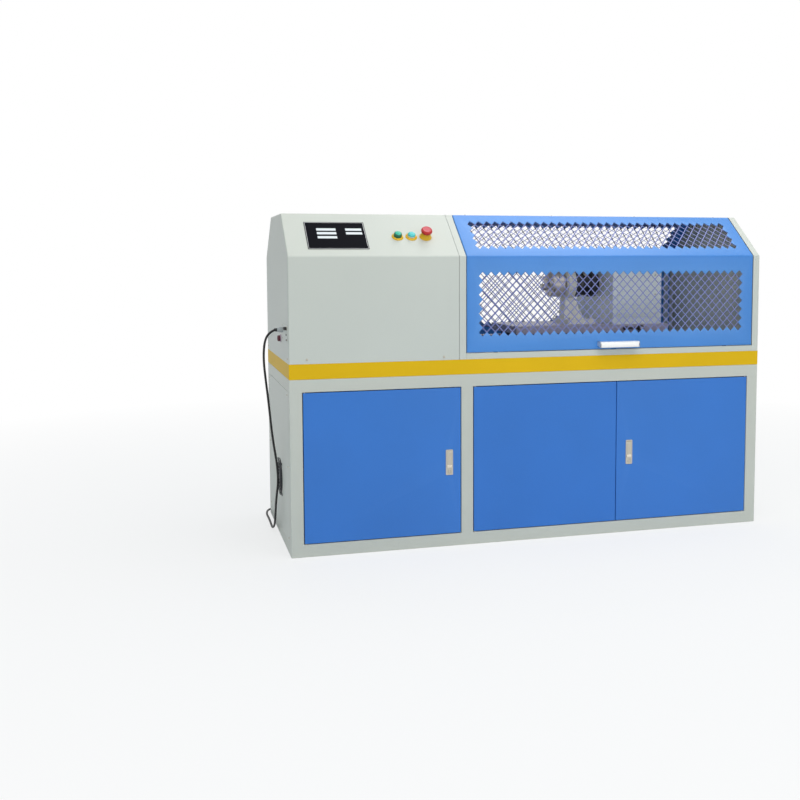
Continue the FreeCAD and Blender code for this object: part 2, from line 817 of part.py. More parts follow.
def guard(side, left, width, bottom, end):
    """A bent sheet with side and bottom returns and two windows of diamond outline."""
    sign = str(side)
    skin = padded("YZ_Plane", half_section(sign, "sheet", bottom, end), width, (left, "0", "0"))
    folds = [
        padded("YZ_Plane", half_section(sign, "flange", bottom, end), "sheet", (start, "0", "0"))
        for start in (left, f"{left} + {width} - sheet")
    ]
    front = FRONT if side < 0 else f"{REAR} - flange"
    folds.append(block((left, front, bottom), (width, "flange", "sheet")))
    lower, upper = window_fields()
    thick = 4 * SIZES["sheet"]
    tools = []
    for field, put in ((lower, stand_up), (upper, lean)):
        cutter = zigzag(*field, SIZES["mesh_web"]).extrude(Vector(0, 0, -thick))
        cutter.translate(Vector(0, 0, thick / 2))
        tools.append(put(shaped(cutter), side, "0"))
    return skin, folds, tools


def mesh(side, name):
    """The two lattices behind the windows of one guard."""
    lower, upper = window_fields()
    fields = [stand_up(shaped(lattice(*lower)), side, "sheet"), lean(shaped(lattice(*upper)), side, "sheet")]
    return keep(group(*fields), name)


def hood():
    """The blue hood, the meshes in it, its pull handle and the pins that it turns on."""
    width = f"({END} - {CHAMBER} - 2 * hood_gap)"
    left = f"({CHAMBER} + hood_gap)"
    skin, folds, tools = guard(-1, left, width, HOOD_BASE, "1")
    axis = (f"-{HINGE_Y}", HINGE_Z)
    lugs = []
    for start in (left, f"{left} + {width} - hood_lug"):
        lugs.append(rod((start, *axis), "X", "lug_radius", "hood_lug"))
    for start in (CHAMBER, f"{END} - hinge_pin_length - 1"):
        tools.append(rod((start, *axis), "X", "hinge_pin_radius + running_play", "hinge_pin_length + 1"))
    pins = [
        rod((CHAMBER, *axis), "X", "hinge_pin_radius", "hinge_pin_length"),
        rod((f"{END} - hinge_pin_length", *axis), "X", "hinge_pin_radius",
            "hinge_pin_length + end_frame_width - sheet"),
    ]
    keep(less(joined(skin, *folds, *lugs), *tools), "hood_sheet")
    mesh(-1, "hood_mesh")
    shoulder = "-handle_reach + handle_corner"
    inside = "-handle_reach + handle_thick"
    far_foot = "handle_length - handle_foot"
    grip = padded("XY_Plane", [
        ("0", "0"), ("0", shoulder), ("handle_corner", "-handle_reach"),
        ("handle_length - handle_corner", "-handle_reach"), ("handle_length", shoulder),
        ("handle_length", "0"), (far_foot, "0"), (far_foot, inside),
        ("handle_foot", inside), ("handle_foot", "0"),
    ], "handle_height", (f"{CHAMBER} + handle_place", FRONT, f"{HOOD_BASE} + handle_lift"))
    keep(grip, "hood_handle")
    return pins


def rear_guard():
    """The fixed blue guard at the back of the chamber."""
    width = f"({END} - {CHAMBER})"
    skin, folds, tools = guard(1, CHAMBER, width, SILL_TOP, "0")
    keep(less(joined(skin, *folds), *tools), "rear_guard")
    mesh(1, "rear_mesh")


# Bed, guides and tail unit


def guides():
    """The ground bed, two profile rails and the four blocks that run on them."""
    left = f"({CHAMBER} + bed_inset)"
    length = f"({END} - {CHAMBER} - 2 * bed_inset)"
    bed = block((left, "-bed_width / 2", "table_height"), (length, "bed_width", "bed_thick"))
    keep(bed, "bed_plate")
    rails, blocks = [], []
    for side in (-1, 1):
        middle = f"{side} * rail_spread / 2"
        half, waist = "rail_width / 2", "rail_waist / 2"
        waisted = ((0, half), (0.35, half), (0.5, waist), (0.65, waist), (0.8, half), (1, half))
        right = [(f"{middle} + {out}", f"{share} * rail_height") for share, out in waisted]
        back = [(f"{middle} - {out}", f"{share} * rail_height") for share, out in reversed(waisted)]
        rails.append(padded("YZ_Plane", right + back, f"{length} - 2 * rail_inset",
                            (f"{left} + rail_inset", "0", BED_TOP)))
        for start in ("block_inset", "saddle_length - block_inset - block_length"):
            base = f"{BED_TOP} + block_lift"
            corner = (f"{CHAMBER} + saddle_start + {start}", f"{middle} - block_width / 2", base)
            outer = block(corner, ("block_length", "block_width", "guide_height - block_lift"))
            slot = block((corner[0], f"{middle} - {half} - slide_play", base),
                         ("block_length", "rail_width + 2 * slide_play",
                          "rail_height - block_lift + slide_play"))
            blocks.append(less(outer, slot))
    keep(group(*rails), "guide_rails")
    return blocks


def chuck(prefix, back, direction):
    """A three-jaw chuck: its slotted body and three jaws, facing +X (1) or -X (-1)."""
    face = f"({back} + {direction} * chuck_length)"
    rim = "chuck_radius - chuck_chamfer"
    disc = turned([
        ("0", "chuck_bore"), ("0", rim), (f"{direction} * chuck_chamfer", "chuck_radius"),
        (f"{direction} * (chuck_length - chuck_chamfer)", "chuck_radius"),
        (f"{direction} * chuck_length", rim), (f"{direction} * chuck_length", "chuck_bore"),
    ], (back, "0", "axis_height"))
    seat, reach = f"-{direction} * jaw_seat", f"{direction} * jaw_reach"
    step, foot = "jaw_rest + jaw_step", "jaw_rest + jaw_foot"
    slots = []
    for i in range(3):
        turn = Rotation(Vector(1, 0, 0), 120 * i)
        groove = rectangle("0", f"-{direction} * (jaw_seat + jaw_play)", "0", "chuck_radius + 1")
        slot = padded("XZ_Plane", groove, "jaw_width + 2 * jaw_play", midplane=True)
        slot.Placement = Placement(Vector(), turn)
        slots.append(place(slot, (face, "0", "axis_height")))
        jaw = padded("XZ_Plane", [
            (seat, "jaw_rest"), (reach, "jaw_rest"), (reach, step), (f"{reach} / 2", step),
            (f"{reach} / 2", foot), (seat, foot),
        ], "jaw_width", midplane=True)
        jaw.Placement = Placement(Vector(), turn)
        keep(place(jaw, (face, "0", "axis_height")), f"{prefix}_jaw_{i + 1}")
    keep(less(disc, *slots), f"{prefix}_chuck")


def tail_unit(blocks):
    """Everything on the sliding saddle: stand, shaft, torque sensor, reaction box and clamp."""
    left = f"({CHAMBER} + saddle_start)"
    corner = (left, "-saddle_width / 2", SADDLE_BASE)
    saddle = block(corner, ("saddle_length", "saddle_width", "saddle_thick"))
    foot = block((f"{STAND_FRONT} - stand_foot_lap", "-stand_foot_width / 2", SADDLE_TOP),
                 ("stand_foot_length", "stand_foot_width", "stand_foot_thick"))
    web = padded("XZ_Plane", [
        (f"{STAND_FRONT} - stand_lean", SADDLE_TOP), (f"{STAND_BACK} + stand_spread", SADDLE_TOP),
        (STAND_BACK, "axis_height - sensor_radius - 1"), (STAND_BACK, "axis_height"),
        (STAND_FRONT, "axis_height"), (STAND_FRONT, "axis_height - tail_flange_radius - 1"),
    ], "stand_web", midplane=True)
    head = rod((STAND_FRONT, "0", "axis_height"), "X", "stand_head_radius", "stand_thick")
    bearing_radius = "tail_shaft_radius + tail_bearing_wall"
    bore = rod((STAND_FRONT, "0", "axis_height"), "X", bearing_radius, "stand_thick")
    bearing = turned(ring_points(STAND_FRONT, STAND_BACK, "tail_shaft_radius", bearing_radius),
                     ("0", "0", "axis_height"))
    keep(group(less(joined(foot, web, head), bore), bearing), "tail_stand")
    shaft = stepped(
        (TAIL_BACK, STAND_FRONT, "tail_flange_radius"),
        (STAND_FRONT, STAND_BACK, "tail_shaft_radius"),
    )
    shaft = turned(shaft, ("0", "0", "axis_height"))
    end = f"({STAND_BACK} + sensor_length)"
    sensor = stepped(
        (STAND_BACK, f"{STAND_BACK} + sensor_flange", "sensor_radius"),
        (f"{STAND_BACK} + sensor_flange", f"{end} - sensor_flange", "sensor_radius - sensor_groove"),
        (f"{end} - sensor_flange", end, "sensor_radius"),
    )
    sensor = turned(sensor, ("0", "0", "axis_height"))
    stub = rod((end, "0", "axis_height"), "X", "tail_shaft_radius", "stub_length")
    keep(group(shaft, sensor, stub), "torque_sensor")
    shoulder = "box_height - box_corner"
    box = padded("YZ_Plane", [
        ("-box_width / 2", "0"), ("box_width / 2", "0"), ("box_width / 2", shoulder),
        ("box_width / 2 - box_corner", "box_height"), ("-box_width / 2 + box_corner", "box_height"),
        ("-box_width / 2", shoulder),
    ], "box_length", (BOX_FACE, "0", SADDLE_TOP))
    lid_width = "(box_width - 2 * box_corner - lid_inset)"
    lid = block((f"{BOX_FACE} + lid_inset", f"-{lid_width} / 2", f"{SADDLE_TOP} + box_height"),
                ("box_length - 2 * lid_inset", lid_width, "lid_thick"))
    keep(group(box, lid), "reaction_box")
    clamp_x = f"({left} + clamp_place)"
    clamp_z = f"({SADDLE_BASE} + saddle_thick / 2)"
    hub_end = "(-saddle_width / 2 - end_play - clamp_hub_length)"
    stud = rod((clamp_x, f"{hub_end} - 4 * end_play", clamp_z), "Y", "clamp_stud_radius",
               "clamp_hub_length + 5 * end_play")
    keep(group(saddle, *blocks, stud), "saddle")
    hub = rod((clamp_x, hub_end, clamp_z), "Y", "clamp_hub_radius", "clamp_hub_length")
    arm_front = f"{hub_end} + clamp_hub_length / 2 - clamp_arm_thick / 2"
    arm = block((f"{clamp_x} - clamp_arm", arm_front, f"{clamp_z} - clamp_arm_width / 2"),
                ("clamp_arm", "clamp_arm_thick", "clamp_arm_width"))
    knob = rod((f"{clamp_x} - clamp_arm", f"{hub_end} - clamp_arm_thick", clamp_z), "Y", "clamp_knob_radius",
               "clamp_hub_length")
    hole = rod((clamp_x, hub_end, clamp_z), "Y", "clamp_stud_radius + running_play", "clamp_hub_length")
    keep(less(joined(hub, arm, knob), hole), "clamp_lever")


# Drive unit


def drive_unit():
    """Motor, reducer, coupling, spindle and headstock on their base plate."""
    at_axis = ("0", "0", "axis_height")
    base = block((f"{LEFT} + drive_base_inset", "-drive_base_width / 2", "table_height"),
                 ("drive_cover_length - 1.5 * drive_base_inset", "drive_base_width", "drive_base_thick"))
    half = "headstock_width / 2"
    top = "(axis_height + headstock_top)"
    stock = padded("YZ_Plane", [
        (f"-{half} - headstock_foot", DRIVE_BASE_TOP), (f"{half} + headstock_foot", DRIVE_BASE_TOP),
        (f"{half} - headstock_waist", "axis_height"), (f"{half} - headstock_shoulder", top),
        (f"-{half} + headstock_shoulder", top), (f"-{half} + headstock_waist", "axis_height"),
    ], "headstock_length", (HEADSTOCK_REAR, "0", "0"))
    bore = rod((HEADSTOCK_REAR, "0", "axis_height"), "X", "bearing_radius", "headstock_length")
    keep(less(stock, bore), "headstock")
    rings = []
    for start, end in ((HEADSTOCK_REAR, f"{HEADSTOCK_REAR} + bearing_width"),
                       (f"{HEADSTOCK_FRONT} - bearing_width", HEADSTOCK_FRONT)):
        ring = ring_points(start, end, "spindle_radius + running_play", "bearing_radius")
        rings.append(turned(ring, at_axis))
    keep(group(*rings), "headstock_bearings")
    coupling_middle = f"({COUPLING_REAR} + coupling_length / 2)"
    spindle = stepped(
        (f"{coupling_middle} + shaft_gap", f"{COUPLING_REAR} + coupling_length", "spindle_tail_radius"),
        (f"{COUPLING_REAR} + coupling_length", HEADSTOCK_REAR, "spindle_tail_radius + spindle_step"),
        (HEADSTOCK_REAR, f"{HEADSTOCK_FRONT} + nose_play", "spindle_radius"),
        (f"{HEADSTOCK_FRONT} + nose_play", f"{CHUCK_BACK} - nose_flange_thick", "nose_radius"),
        (f"{CHUCK_BACK} - nose_flange_thick", CHUCK_BACK, "nose_flange_radius"),
    )
    waist = "coupling_radius - coupling_waist"
    waist_start = f"{coupling_middle} - coupling_waist_length / 2"
    waist_end = f"{coupling_middle} + coupling_waist_length / 2"
    coupling = turned([
        (COUPLING_REAR, "output_radius"), (COUPLING_REAR, "coupling_radius"),
        (waist_start, "coupling_radius"), (waist_start, waist), (waist_end, waist),
        (waist_end, "coupling_radius"), (f"{COUPLING_REAR} + coupling_length", "coupling_radius"),
        (f"{COUPLING_REAR} + coupling_length", "spindle_tail_radius"),
        (f"{coupling_middle}", "spindle_tail_radius"), (f"{coupling_middle}", "output_radius"),
    ], at_axis)
    keep(coupling, "shaft_coupling")
    shaft = rod((f"{BRACKET_REAR} - output_seat", "0", "axis_height"), "X", "output_radius",
                f"{coupling_middle} - {BRACKET_REAR} + output_seat - shaft_gap")
    keep(group(turned(spindle, at_axis), shaft), "spindle")
    width = "bracket_width"
    plate = block((BRACKET_REAR, f"-{width} / 2", DRIVE_BASE_TOP),
                  ("bracket_thick", width, f"axis_height + motor_side / 2 - {DRIVE_BASE_TOP}"))
    window = rod((BRACKET_REAR, "0", "axis_height"), "X", "output_radius + bracket_hole", "bracket_thick")
    gusset = [(BRACKET_REAR, DRIVE_BASE_TOP), (f"{BRACKET_REAR} - rib_run", DRIVE_BASE_TOP),
              (BRACKET_REAR, "axis_height - rib_drop")]
    ribs = [padded("XZ_Plane", gusset, "rib_thick", ("0", start, "0"))
            for start in (f"-{width} / 2 + rib_thick", f"{width} / 2")]
    keep(group(base, less(joined(plate, *ribs), window)), "drive_base")
    seat_end = f"{BRACKET_REAR} - output_seat - end_play"
    input_end = f"{REDUCER_REAR} + motor_shaft_reach + end_play"
    gear = turned([
        (REDUCER_REAR, "motor_shaft_radius + running_play"), (REDUCER_REAR, "reducer_radius"),
        (BRACKET_REAR, "reducer_radius"), (BRACKET_REAR, "output_radius + running_play"),
        (seat_end, "output_radius + running_play"), (seat_end, "0"),
        (input_end, "0"), (input_end, "motor_shaft_radius + running_play"),
    ], at_axis)
    keep(gear, "reducer")
    edge, cut = "motor_side / 2", "(motor_side / 2 - motor_corner)"
    motor = padded("YZ_Plane", [
        (f"-{cut}", f"-{edge}"), (cut, f"-{edge}"), (edge, f"-{cut}"), (edge, cut),
        (cut, edge), (f"-{cut}", edge), (f"-{edge}", cut), (f"-{edge}", f"-{cut}"),
    ], "motor_length", (f"{REDUCER_REAR} - motor_length", "0", "axis_height"))
    motor_end = f"{REDUCER_REAR} - motor_length + motor_end"
    hollow = rod((motor_end, "0", "axis_height"), "X", "motor_shaft_radius + running_play",
                 "motor_length - motor_end")
    keep(less(motor, hollow), "servo_motor")
    rotor = rod((f"{motor_end} + end_play", "0", "axis_height"), "X", "motor_shaft_radius",
                "motor_length - motor_end - end_play + motor_shaft_reach")
    keep(rotor, "motor_shaft")
    chuck("drive", CHUCK_BACK, 1)


# Controls, plates and sockets


def controls():
    """Two push buttons and the emergency stop on the front slant, with their fixed rings."""
    places = {"start": "start_place", "stop": "stop_place", "emergency": "emergency_place"}
    rings = []
    for name, along in places.items():
        wide = name == "emergency"
        foot = "mushroom_base_radius" if wide else "button_ring_radius"
        rise = "mushroom_base" if wide else "button_ring_thick"
        neck = "(button_radius + button_collar)"
        collar = f"({rise} + button_collar)"
        half = f"({neck} + button_collar)"
        parts = [
            taper(("0", "0", "0"), foot, f"{neck} + button_collar", rise),
            rod(("0", "0", "-button_stem"), "Z", neck, f"button_stem + {collar}"),
            block((f"-{half}", f"-{half}", "-button_stem - switch_depth"),
                  (f"2 * {half}", f"2 * {half}", "switch_depth")),
        ]
        cap_base = "(-button_stem + button_travel + end_play)"
        head_base = f"({collar} + button_travel + end_play)" if wide else "0"
        head = "mushroom_radius" if wide else "button_radius"
        side = "mushroom_thick - button_dome" if wide else "button_rise - button_dome"
        cap = joined(
            rod(("0", "0", cap_base), "Z", "button_radius", f"{head_base} - {cap_base} + button_collar"),
            rod(("0", "0", head_base), "Z", head, side),
            taper(("0", "0", f"{head_base} + {side}"), head, f"{head} - button_dome", "button_dome"),
        )
        bore = rod(("0", "0", "-button_stem"), "Z", "button_radius + lever_play",
                   f"button_stem + {collar} + 1")
        rings.append(on_slant(less(joined(*parts), bore), f"{LEFT} + {along}", "control_rise"))
        keep(on_slant(cap, f"{LEFT} + {along}", "control_rise"), f"{name}_button")
    keep(group(*rings), "button_rings")


def lead_plug(start):
    """A round plug of the lead, its mating face at the start and its neck towards -X."""
    neck = "cable_radius + plug_neck"
    return turned([
        ("0", "0"), ("0", "plug_radius"), ("-plug_grip", "plug_radius"),
        ("-plug_grip - plug_neck", "plug_radius - plug_neck"), ("-plug_length", neck), ("-plug_length", "0"),
    ], start)


def side_sockets():
    """The connector plate on the left end with its sockets and the plugged-in lead's plug."""
    front = "(-panel_front)"
    plate = block((f"{LEFT} - sheet", front, PANEL_BASE), ("sheet", "panel_length", "panel_height"))
    port = block((f"{LEFT} - sheet - port_depth", f"{front} + port_inset",
                  f"{PANEL_BASE} + panel_height - port_inset - port_height"),
                 ("port_depth", "port_length", "port_height"))
    socket = (f"{LEFT} - port_inset", f"{front} + round_port_place", f"{PANEL_BASE} - round_port_drop")
    round_port = rod(socket, "X", "round_port_radius", "port_inset")
    keep(group(plate, port, round_port), "connector_plate")
    return lead_plug((f"{LEFT} - sheet", f"{front} + plug_place", f"{PANEL_BASE} + plug_rise"))


def side_fan():
    """An axial fan behind the left side panel, with its impeller and outside guard."""
    centre = ("-fan_offset", "fan_height")
    half = "fan_side / 2"
    left = f"({LEFT} + sheet)"
    across, high = (f"({value} - {half})" for value in centre)
    frame = block((left, across, high), ("fan_depth", "fan_side", "fan_side"))
    bore = rod((left, *centre), "X", "fan_bore", "fan_depth")
    motor = rod((f"{left} + fan_depth - fan_motor", *centre), "X", "fan_hub", "fan_motor")
    strut_left = f"{left} + fan_depth - fan_strut"
    struts = [
        block((strut_left, across, f"{centre[1]} - fan_strut / 2"), ("fan_strut", "fan_side", "fan_strut")),
        block((strut_left, f"{centre[0]} - fan_strut / 2", high), ("fan_strut", "fan_strut", "fan_side")),
    ]
    pin = rod((f"{left} + fan_motor", *centre), "X", "fan_pin_radius", "fan_depth - 2 * fan_motor + 1")
    keep(joined(less(frame, bore), motor, pin, *struts), "fan_housing")
    hub = rod((f"{left} + fan_motor - end_play", *centre), "X", "fan_hub", "fan_depth - 2 * fan_motor")
    blades = []
    root = "(fan_hub - 2 * sheet)"
    for i in range(SIZES["fan_blades"]):
        flat = block(("-sheet / 2", "-fan_blade_width / 2", "0"),
                     ("sheet", "fan_blade_width", f"fan_bore - fan_play - {root}"))
        blade = group(flat)
        blade.Placement = Placement(Vector(), Rotation(Vector(0, 0, 1), SIZES["fan_blade_pitch"]))
        blade = group(place(blade, ("0", "0", root)))
        blade.Placement = Placement(Vector(), Rotation(Vector(1, 0, 0), 360 / SIZES["fan_blades"] * i))
        blades.append(place(blade, (f"{left} + fan_depth / 2 - end_play", *centre)))
    bore = rod((left, *centre), "X", "fan_pin_radius + running_play", "fan_depth")
    keep(less(joined(hub, *blades), bore), "fan_impeller")
    rings = []
    count = SIZES["guard_rings"]
    for i in range(1, count + 1):
        radius = f"(guard_radius * {i} / {count})"
        ring = ring_points(f"{LEFT} - 2 * guard_bar", f"{LEFT} - guard_bar", f"{radius} - guard_bar", radius)
        rings.append(turned(ring, ("0", *centre)))
    reach = "(guard_radius + guard_lap)"
    bars = [
        block((f"{LEFT} - guard_bar", f"{centre[0]} - {reach}", f"{centre[1]} - guard_bar / 2"),
              ("guard_bar", f"2 * {reach}", "guard_bar")),
        block((f"{LEFT} - guard_bar", f"{centre[0]} - guard_bar / 2", f"{centre[1]} - {reach}"),
              ("guard_bar", "guard_bar", f"2 * {reach}")),
    ]
    keep(joined(*rings, *bars), "fan_guard")


def electrics():
    """Mounting plate, servo drive, controller, breakers and wiring duct in the left compartment."""
    face = f"({REAR} - tube - sheet)"
    left = f"({LEFT} + tube + plate_inset)"
    base = "(tube + sheet)"
    plate = block((left, face, base), ("left_opening - 2 * plate_inset", "sheet", f"{FRAME_TOP} - {base}"))
    drive_base = f"{base} + unit_lift"
    unit = block((f"{left} + unit_inset", f"{face} - drive_depth", drive_base),
                 ("drive_width", "drive_depth", "drive_height"))
    slots = []
    count = SIZES["cooling_slots"]
    for i in range(count):
        run = f"(drive_width - 2 * cooling_slot_inset - cooling_slot_width) * {i} / {count - 1}"
        corner = (f"{left} + unit_inset + cooling_slot_inset + {run}", f"{face} - drive_depth",
                  f"{drive_base} + 2 * cooling_slot_inset")
        slots.append(block(corner, ("cooling_slot_width", "cooling_slot_depth",
                                    "drive_height - 4 * cooling_slot_inset")))
    keep(less(unit, *slots), "servo_drive")
    second = f"({left} + unit_inset + drive_width + unit_gap)"
    controller = block((second, f"{face} - controller_depth", drive_base),
                       ("controller_width", "controller_depth", "controller_height"))
    rail_base = f"({drive_base} + controller_height + unit_gap)"
    rail = block((second, f"{face} - rail_depth", rail_base),
                 ("controller_width", "rail_depth", "rail_plate"))
    breakers = []
    for i in range(SIZES["breaker_count"]):
        corner = (f"{second} + breaker_width + {i} * (breaker_width + end_play)",
                  f"{face} - rail_depth - breaker_depth",
                  f"{rail_base} + rail_plate / 2 - breaker_height / 2")
        breakers.append(block(corner, ("breaker_width", "breaker_depth", "breaker_height")))
    duct = block((f"{left} + trunking_inset", f"{face} - trunking", f"{base} + trunking_inset"),
                 ("left_opening - 2 * plate_inset - 2 * trunking_inset", "trunking", "trunking"))
    keep(group(plate, duct, controller, rail, *breakers), "control_panel")


# Cable


CABLE_ROUTE = [
    (-1054, -218, 881), (-1071, -217, 873), (-1089, -215, 851), (-1097, -211, 812), (-1098, -205, 755),
    (-1090, -195, 680), (-1080, -184, 600), (-1071, -168, 515), (-1059, -145, 420), (-1042, -121, 325),
    (-1036, -102, 245), (-1043, -75, 165), (-1043, -40, 90), (-1041, 15, 32), (-1043, 85, 4.5),
    (-1041, 165, 4.5), (-1040, 255, 4.5), (-1042, 345, 4.5), (-1026, 420, 4.5), (-965, 462, 4.5),
    (-890, 475, 4.5), (-820, 475, 4.5),
]


def rounded_path(points, share=0.45):
    """Straight runs joined by tangent arcs, each as large as its two runs allow."""
    points = [Vector(*point) for point in points]
    edges, radii = [], []
    last = points[0]
    for before, corner, after in zip(points, points[1:], points[2:]):
        back, on = (before - corner).normalize(), (after - corner).normalize()
        turn = math.pi - back.getAngle(on)
        cut = share * min((before - corner).Length, (after - corner).Length)
        radii.append(cut / math.tan(turn / 2))
        start, end = corner + back * cut, corner + on * cut
        middle = (back + on).normalize()
        centre = corner + middle * (radii[-1] / math.cos(turn / 2))
        edges.append(Part.LineSegment(last, start).toShape())
        edges.append(Part.Arc(start, centre - middle * radii[-1], end).toShape())
        last = end
    edges.append(Part.LineSegment(last, points[-1]).toShape())
    return Part.Wire(edges), radii


def cable():
    """The free lead from the side plug to the coil behind the machine, and its end plug."""
    radius = SIZES["cable_radius"]
    path, radii = rounded_path(CABLE_ROUTE)
    start = Vector(*CABLE_ROUTE[0])
    ring = Part.Wire(Part.makeCircle(radius, start, Vector(*CABLE_ROUTE[1]) - start))
    tube = path.makePipeShell([ring], True, False, 2)
    keep(shaped(tube, "Cable"), "control_cable")
    print("cable length", round(path.Length), "least radius", round(min(radii)),
          "volume share", round(tube.Volume / (math.pi * radius ** 2 * path.Length), 4))
    spread = SIZES["coil_turns_wide"] * radius
    height = SIZES["coil_turns_high"] * 2 * radius
    outer = SIZES["coil_radius"] + spread
    coil = Part.makeCylinder(outer, height).cut(Part.makeCylinder(outer - 2 * spread, height))
    middle = Vector(*CABLE_ROUTE[-1]) + Vector(0, outer - radius, -radius)
    coil = shaped(coil, "Coil")
    coil.Placement = Placement(middle, Rotation())
    keep(coil, "cable_coil")
    face = str(middle.x + SIZES["plug_length"] / 2)
    return lead_plug((face, str(middle.y - SIZES["coil_radius"]), f"{height} + plug_radius"))


keep(group(*frame_tubes(), *table()), "base_frame")
cabinet_panels()
door_pins, catches = doors()
drive_cover()
bumpers = end_walls()
hood_pins = hood()
keep(group(*door_pins, *hood_pins), "hinge_pins")
keep(group(*catches, *bumpers), "catches_and_bumpers")
rear_guard()
tail_unit(guides())
chuck("tail", TAIL_BACK, -1)
drive_unit()
controls()
near_plug = side_sockets()
side_fan()
electrics()
far_plug = cable()
keep(group(near_plug, far_plug), "cable_plugs")
doc.recompute()

# Every object must have built, and every sub-part must be a sound solid, before anything is written
failed = [item.Label for item in doc.Objects if {"Invalid", "Error"} & set(item.State)]
if failed:
    raise SystemExit(f"these did not build: {failed}")
for piece in pieces:
    if piece.Shape.isNull() or not piece.Shape.isValid() or not piece.Shape.Solids:
        raise SystemExit(f"{piece.Label} has no sound shape")

os.makedirs("parts", exist_ok=True)
for piece in pieces:
    piece.Shape.exportStep(os.path.join("parts", f"{piece.Label}.step"))
print(len(pieces), "sub-parts written")
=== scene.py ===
import math

import bmesh
import bpy
from mathutils import Matrix, Vector

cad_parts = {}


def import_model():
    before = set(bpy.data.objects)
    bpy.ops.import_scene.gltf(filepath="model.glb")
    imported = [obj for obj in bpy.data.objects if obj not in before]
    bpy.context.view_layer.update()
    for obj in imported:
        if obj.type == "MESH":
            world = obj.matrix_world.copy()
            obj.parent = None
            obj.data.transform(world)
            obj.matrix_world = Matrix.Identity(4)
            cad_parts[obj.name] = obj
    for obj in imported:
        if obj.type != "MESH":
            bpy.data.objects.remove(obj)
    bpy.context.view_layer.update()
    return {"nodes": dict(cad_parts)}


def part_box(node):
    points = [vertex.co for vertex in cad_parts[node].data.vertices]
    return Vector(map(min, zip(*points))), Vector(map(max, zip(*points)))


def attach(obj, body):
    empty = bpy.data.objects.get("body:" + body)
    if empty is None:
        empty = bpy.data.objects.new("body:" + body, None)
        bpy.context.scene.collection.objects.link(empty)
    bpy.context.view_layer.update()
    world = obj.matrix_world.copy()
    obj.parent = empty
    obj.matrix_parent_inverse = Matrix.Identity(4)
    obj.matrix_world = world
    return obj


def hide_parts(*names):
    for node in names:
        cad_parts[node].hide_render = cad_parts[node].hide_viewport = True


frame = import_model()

# The looks of a torsional fatigue tester: blue perforated hood and doors, pale folded covers,
# yellow table edge, controls on the front slant and the drive and tail units inside.
# The scene is in metres: X runs along the machine, Y to the rear, Z up.
# Profiles, outlines and the planes that pieces are built on are in millimetres.

scene = bpy.context.scene
MM = 0.001
UNIT = Matrix.Scale(MM, 4)
WELD = 0.000001

# Places read from the frame
cover_low, cover_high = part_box("drive_cover")
end_low, end_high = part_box("right_end_frame")
hood_low, hood_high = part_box("hood_sheet")
guard_low, guard_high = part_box("rear_guard")
LEFT, RIGHT = cover_low.x, end_high.x
FRONT, REAR = cover_low.y, cover_high.y
TABLE, TOP = cover_low.z, cover_high.z
PORTAL, CHAMBER, END = cover_high.x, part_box("portal_wall")[1].x, end_low.x
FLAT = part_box("top_panel")[1].y
AXIS_HEIGHT = sum(corner.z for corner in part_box("tail_chuck")) / 2

# The covers: height of the bend, thickness of the sheet, depth of its returns and width of the
# frame's tube, then the slant's run, angle and length
BREAK = 1.170
SHEET = 0.002
FLANGE = 0.020
TUBE = 0.050
RUN = REAR - FLAT
SLOPE = math.atan2(TOP - BREAK, RUN)
SLANT = math.hypot(TOP - BREAK, RUN)

# The windows: pitch and number of diamonds, width of the bars, and for the lower and the upper
# window the rows, the rise of a row and the foot, counted from the bend
PITCH = 36.3 * MM
COLUMNS = 33
WEB = 4.0 * MM
HALF_WIDTH = COLUMNS * PITCH / 2
MIDDLE = (CHAMBER + END) / 2
LOWER = (7, 37.8 * MM, TABLE + 88 * MM - BREAK)
UPPER = (4, 46.5 * MM, 43 * MM)
WINDOW_MARGIN = 12 * MM
GRILLE_LAYER = 1.1 * MM
GRILLE_RIM = 9 * MM
JUST_BELOW_BEND = -0.0000001


# Materials


def linear(red, green, blue):
    """A colour given as screen values from 0 to 255, as the shader wants it."""
    values = [value / 255 for value in (red, green, blue)]
    return [v / 12.92 if v <= 0.04045 else ((v + 0.055) / 1.055) ** 2.4 for v in values]


def feed(tree, node, values):
    """Set a node's inputs by name, and link those given as another node's output."""
    for name, value in values.items():
        if isinstance(value, bpy.types.NodeSocket):
            tree.links.new(value, node.inputs[name])
        else:
            node.inputs[name].default_value = value
    return node


def add_node(tree, kind, values, result=0, **settings):
    """A new shader node with its settings and inputs, given as its output."""
    node = tree.nodes.new("ShaderNode" + kind)
    for name, setting in settings.items():
        setattr(node, name, setting)
    return feed(tree, node, values).outputs[result]


def ramp(tree, factor, first, second):
    """A colour between two, spread over the middle of a noise."""
    node = tree.nodes.new("ShaderNodeValToRGB")
    for stop, position, colour in zip(node.color_ramp.elements, (0.3, 0.7), (first, second)):
        stop.position = position
        stop.color = (*colour, 1)
    return feed(tree, node, {"Fac": factor}).outputs["Color"]


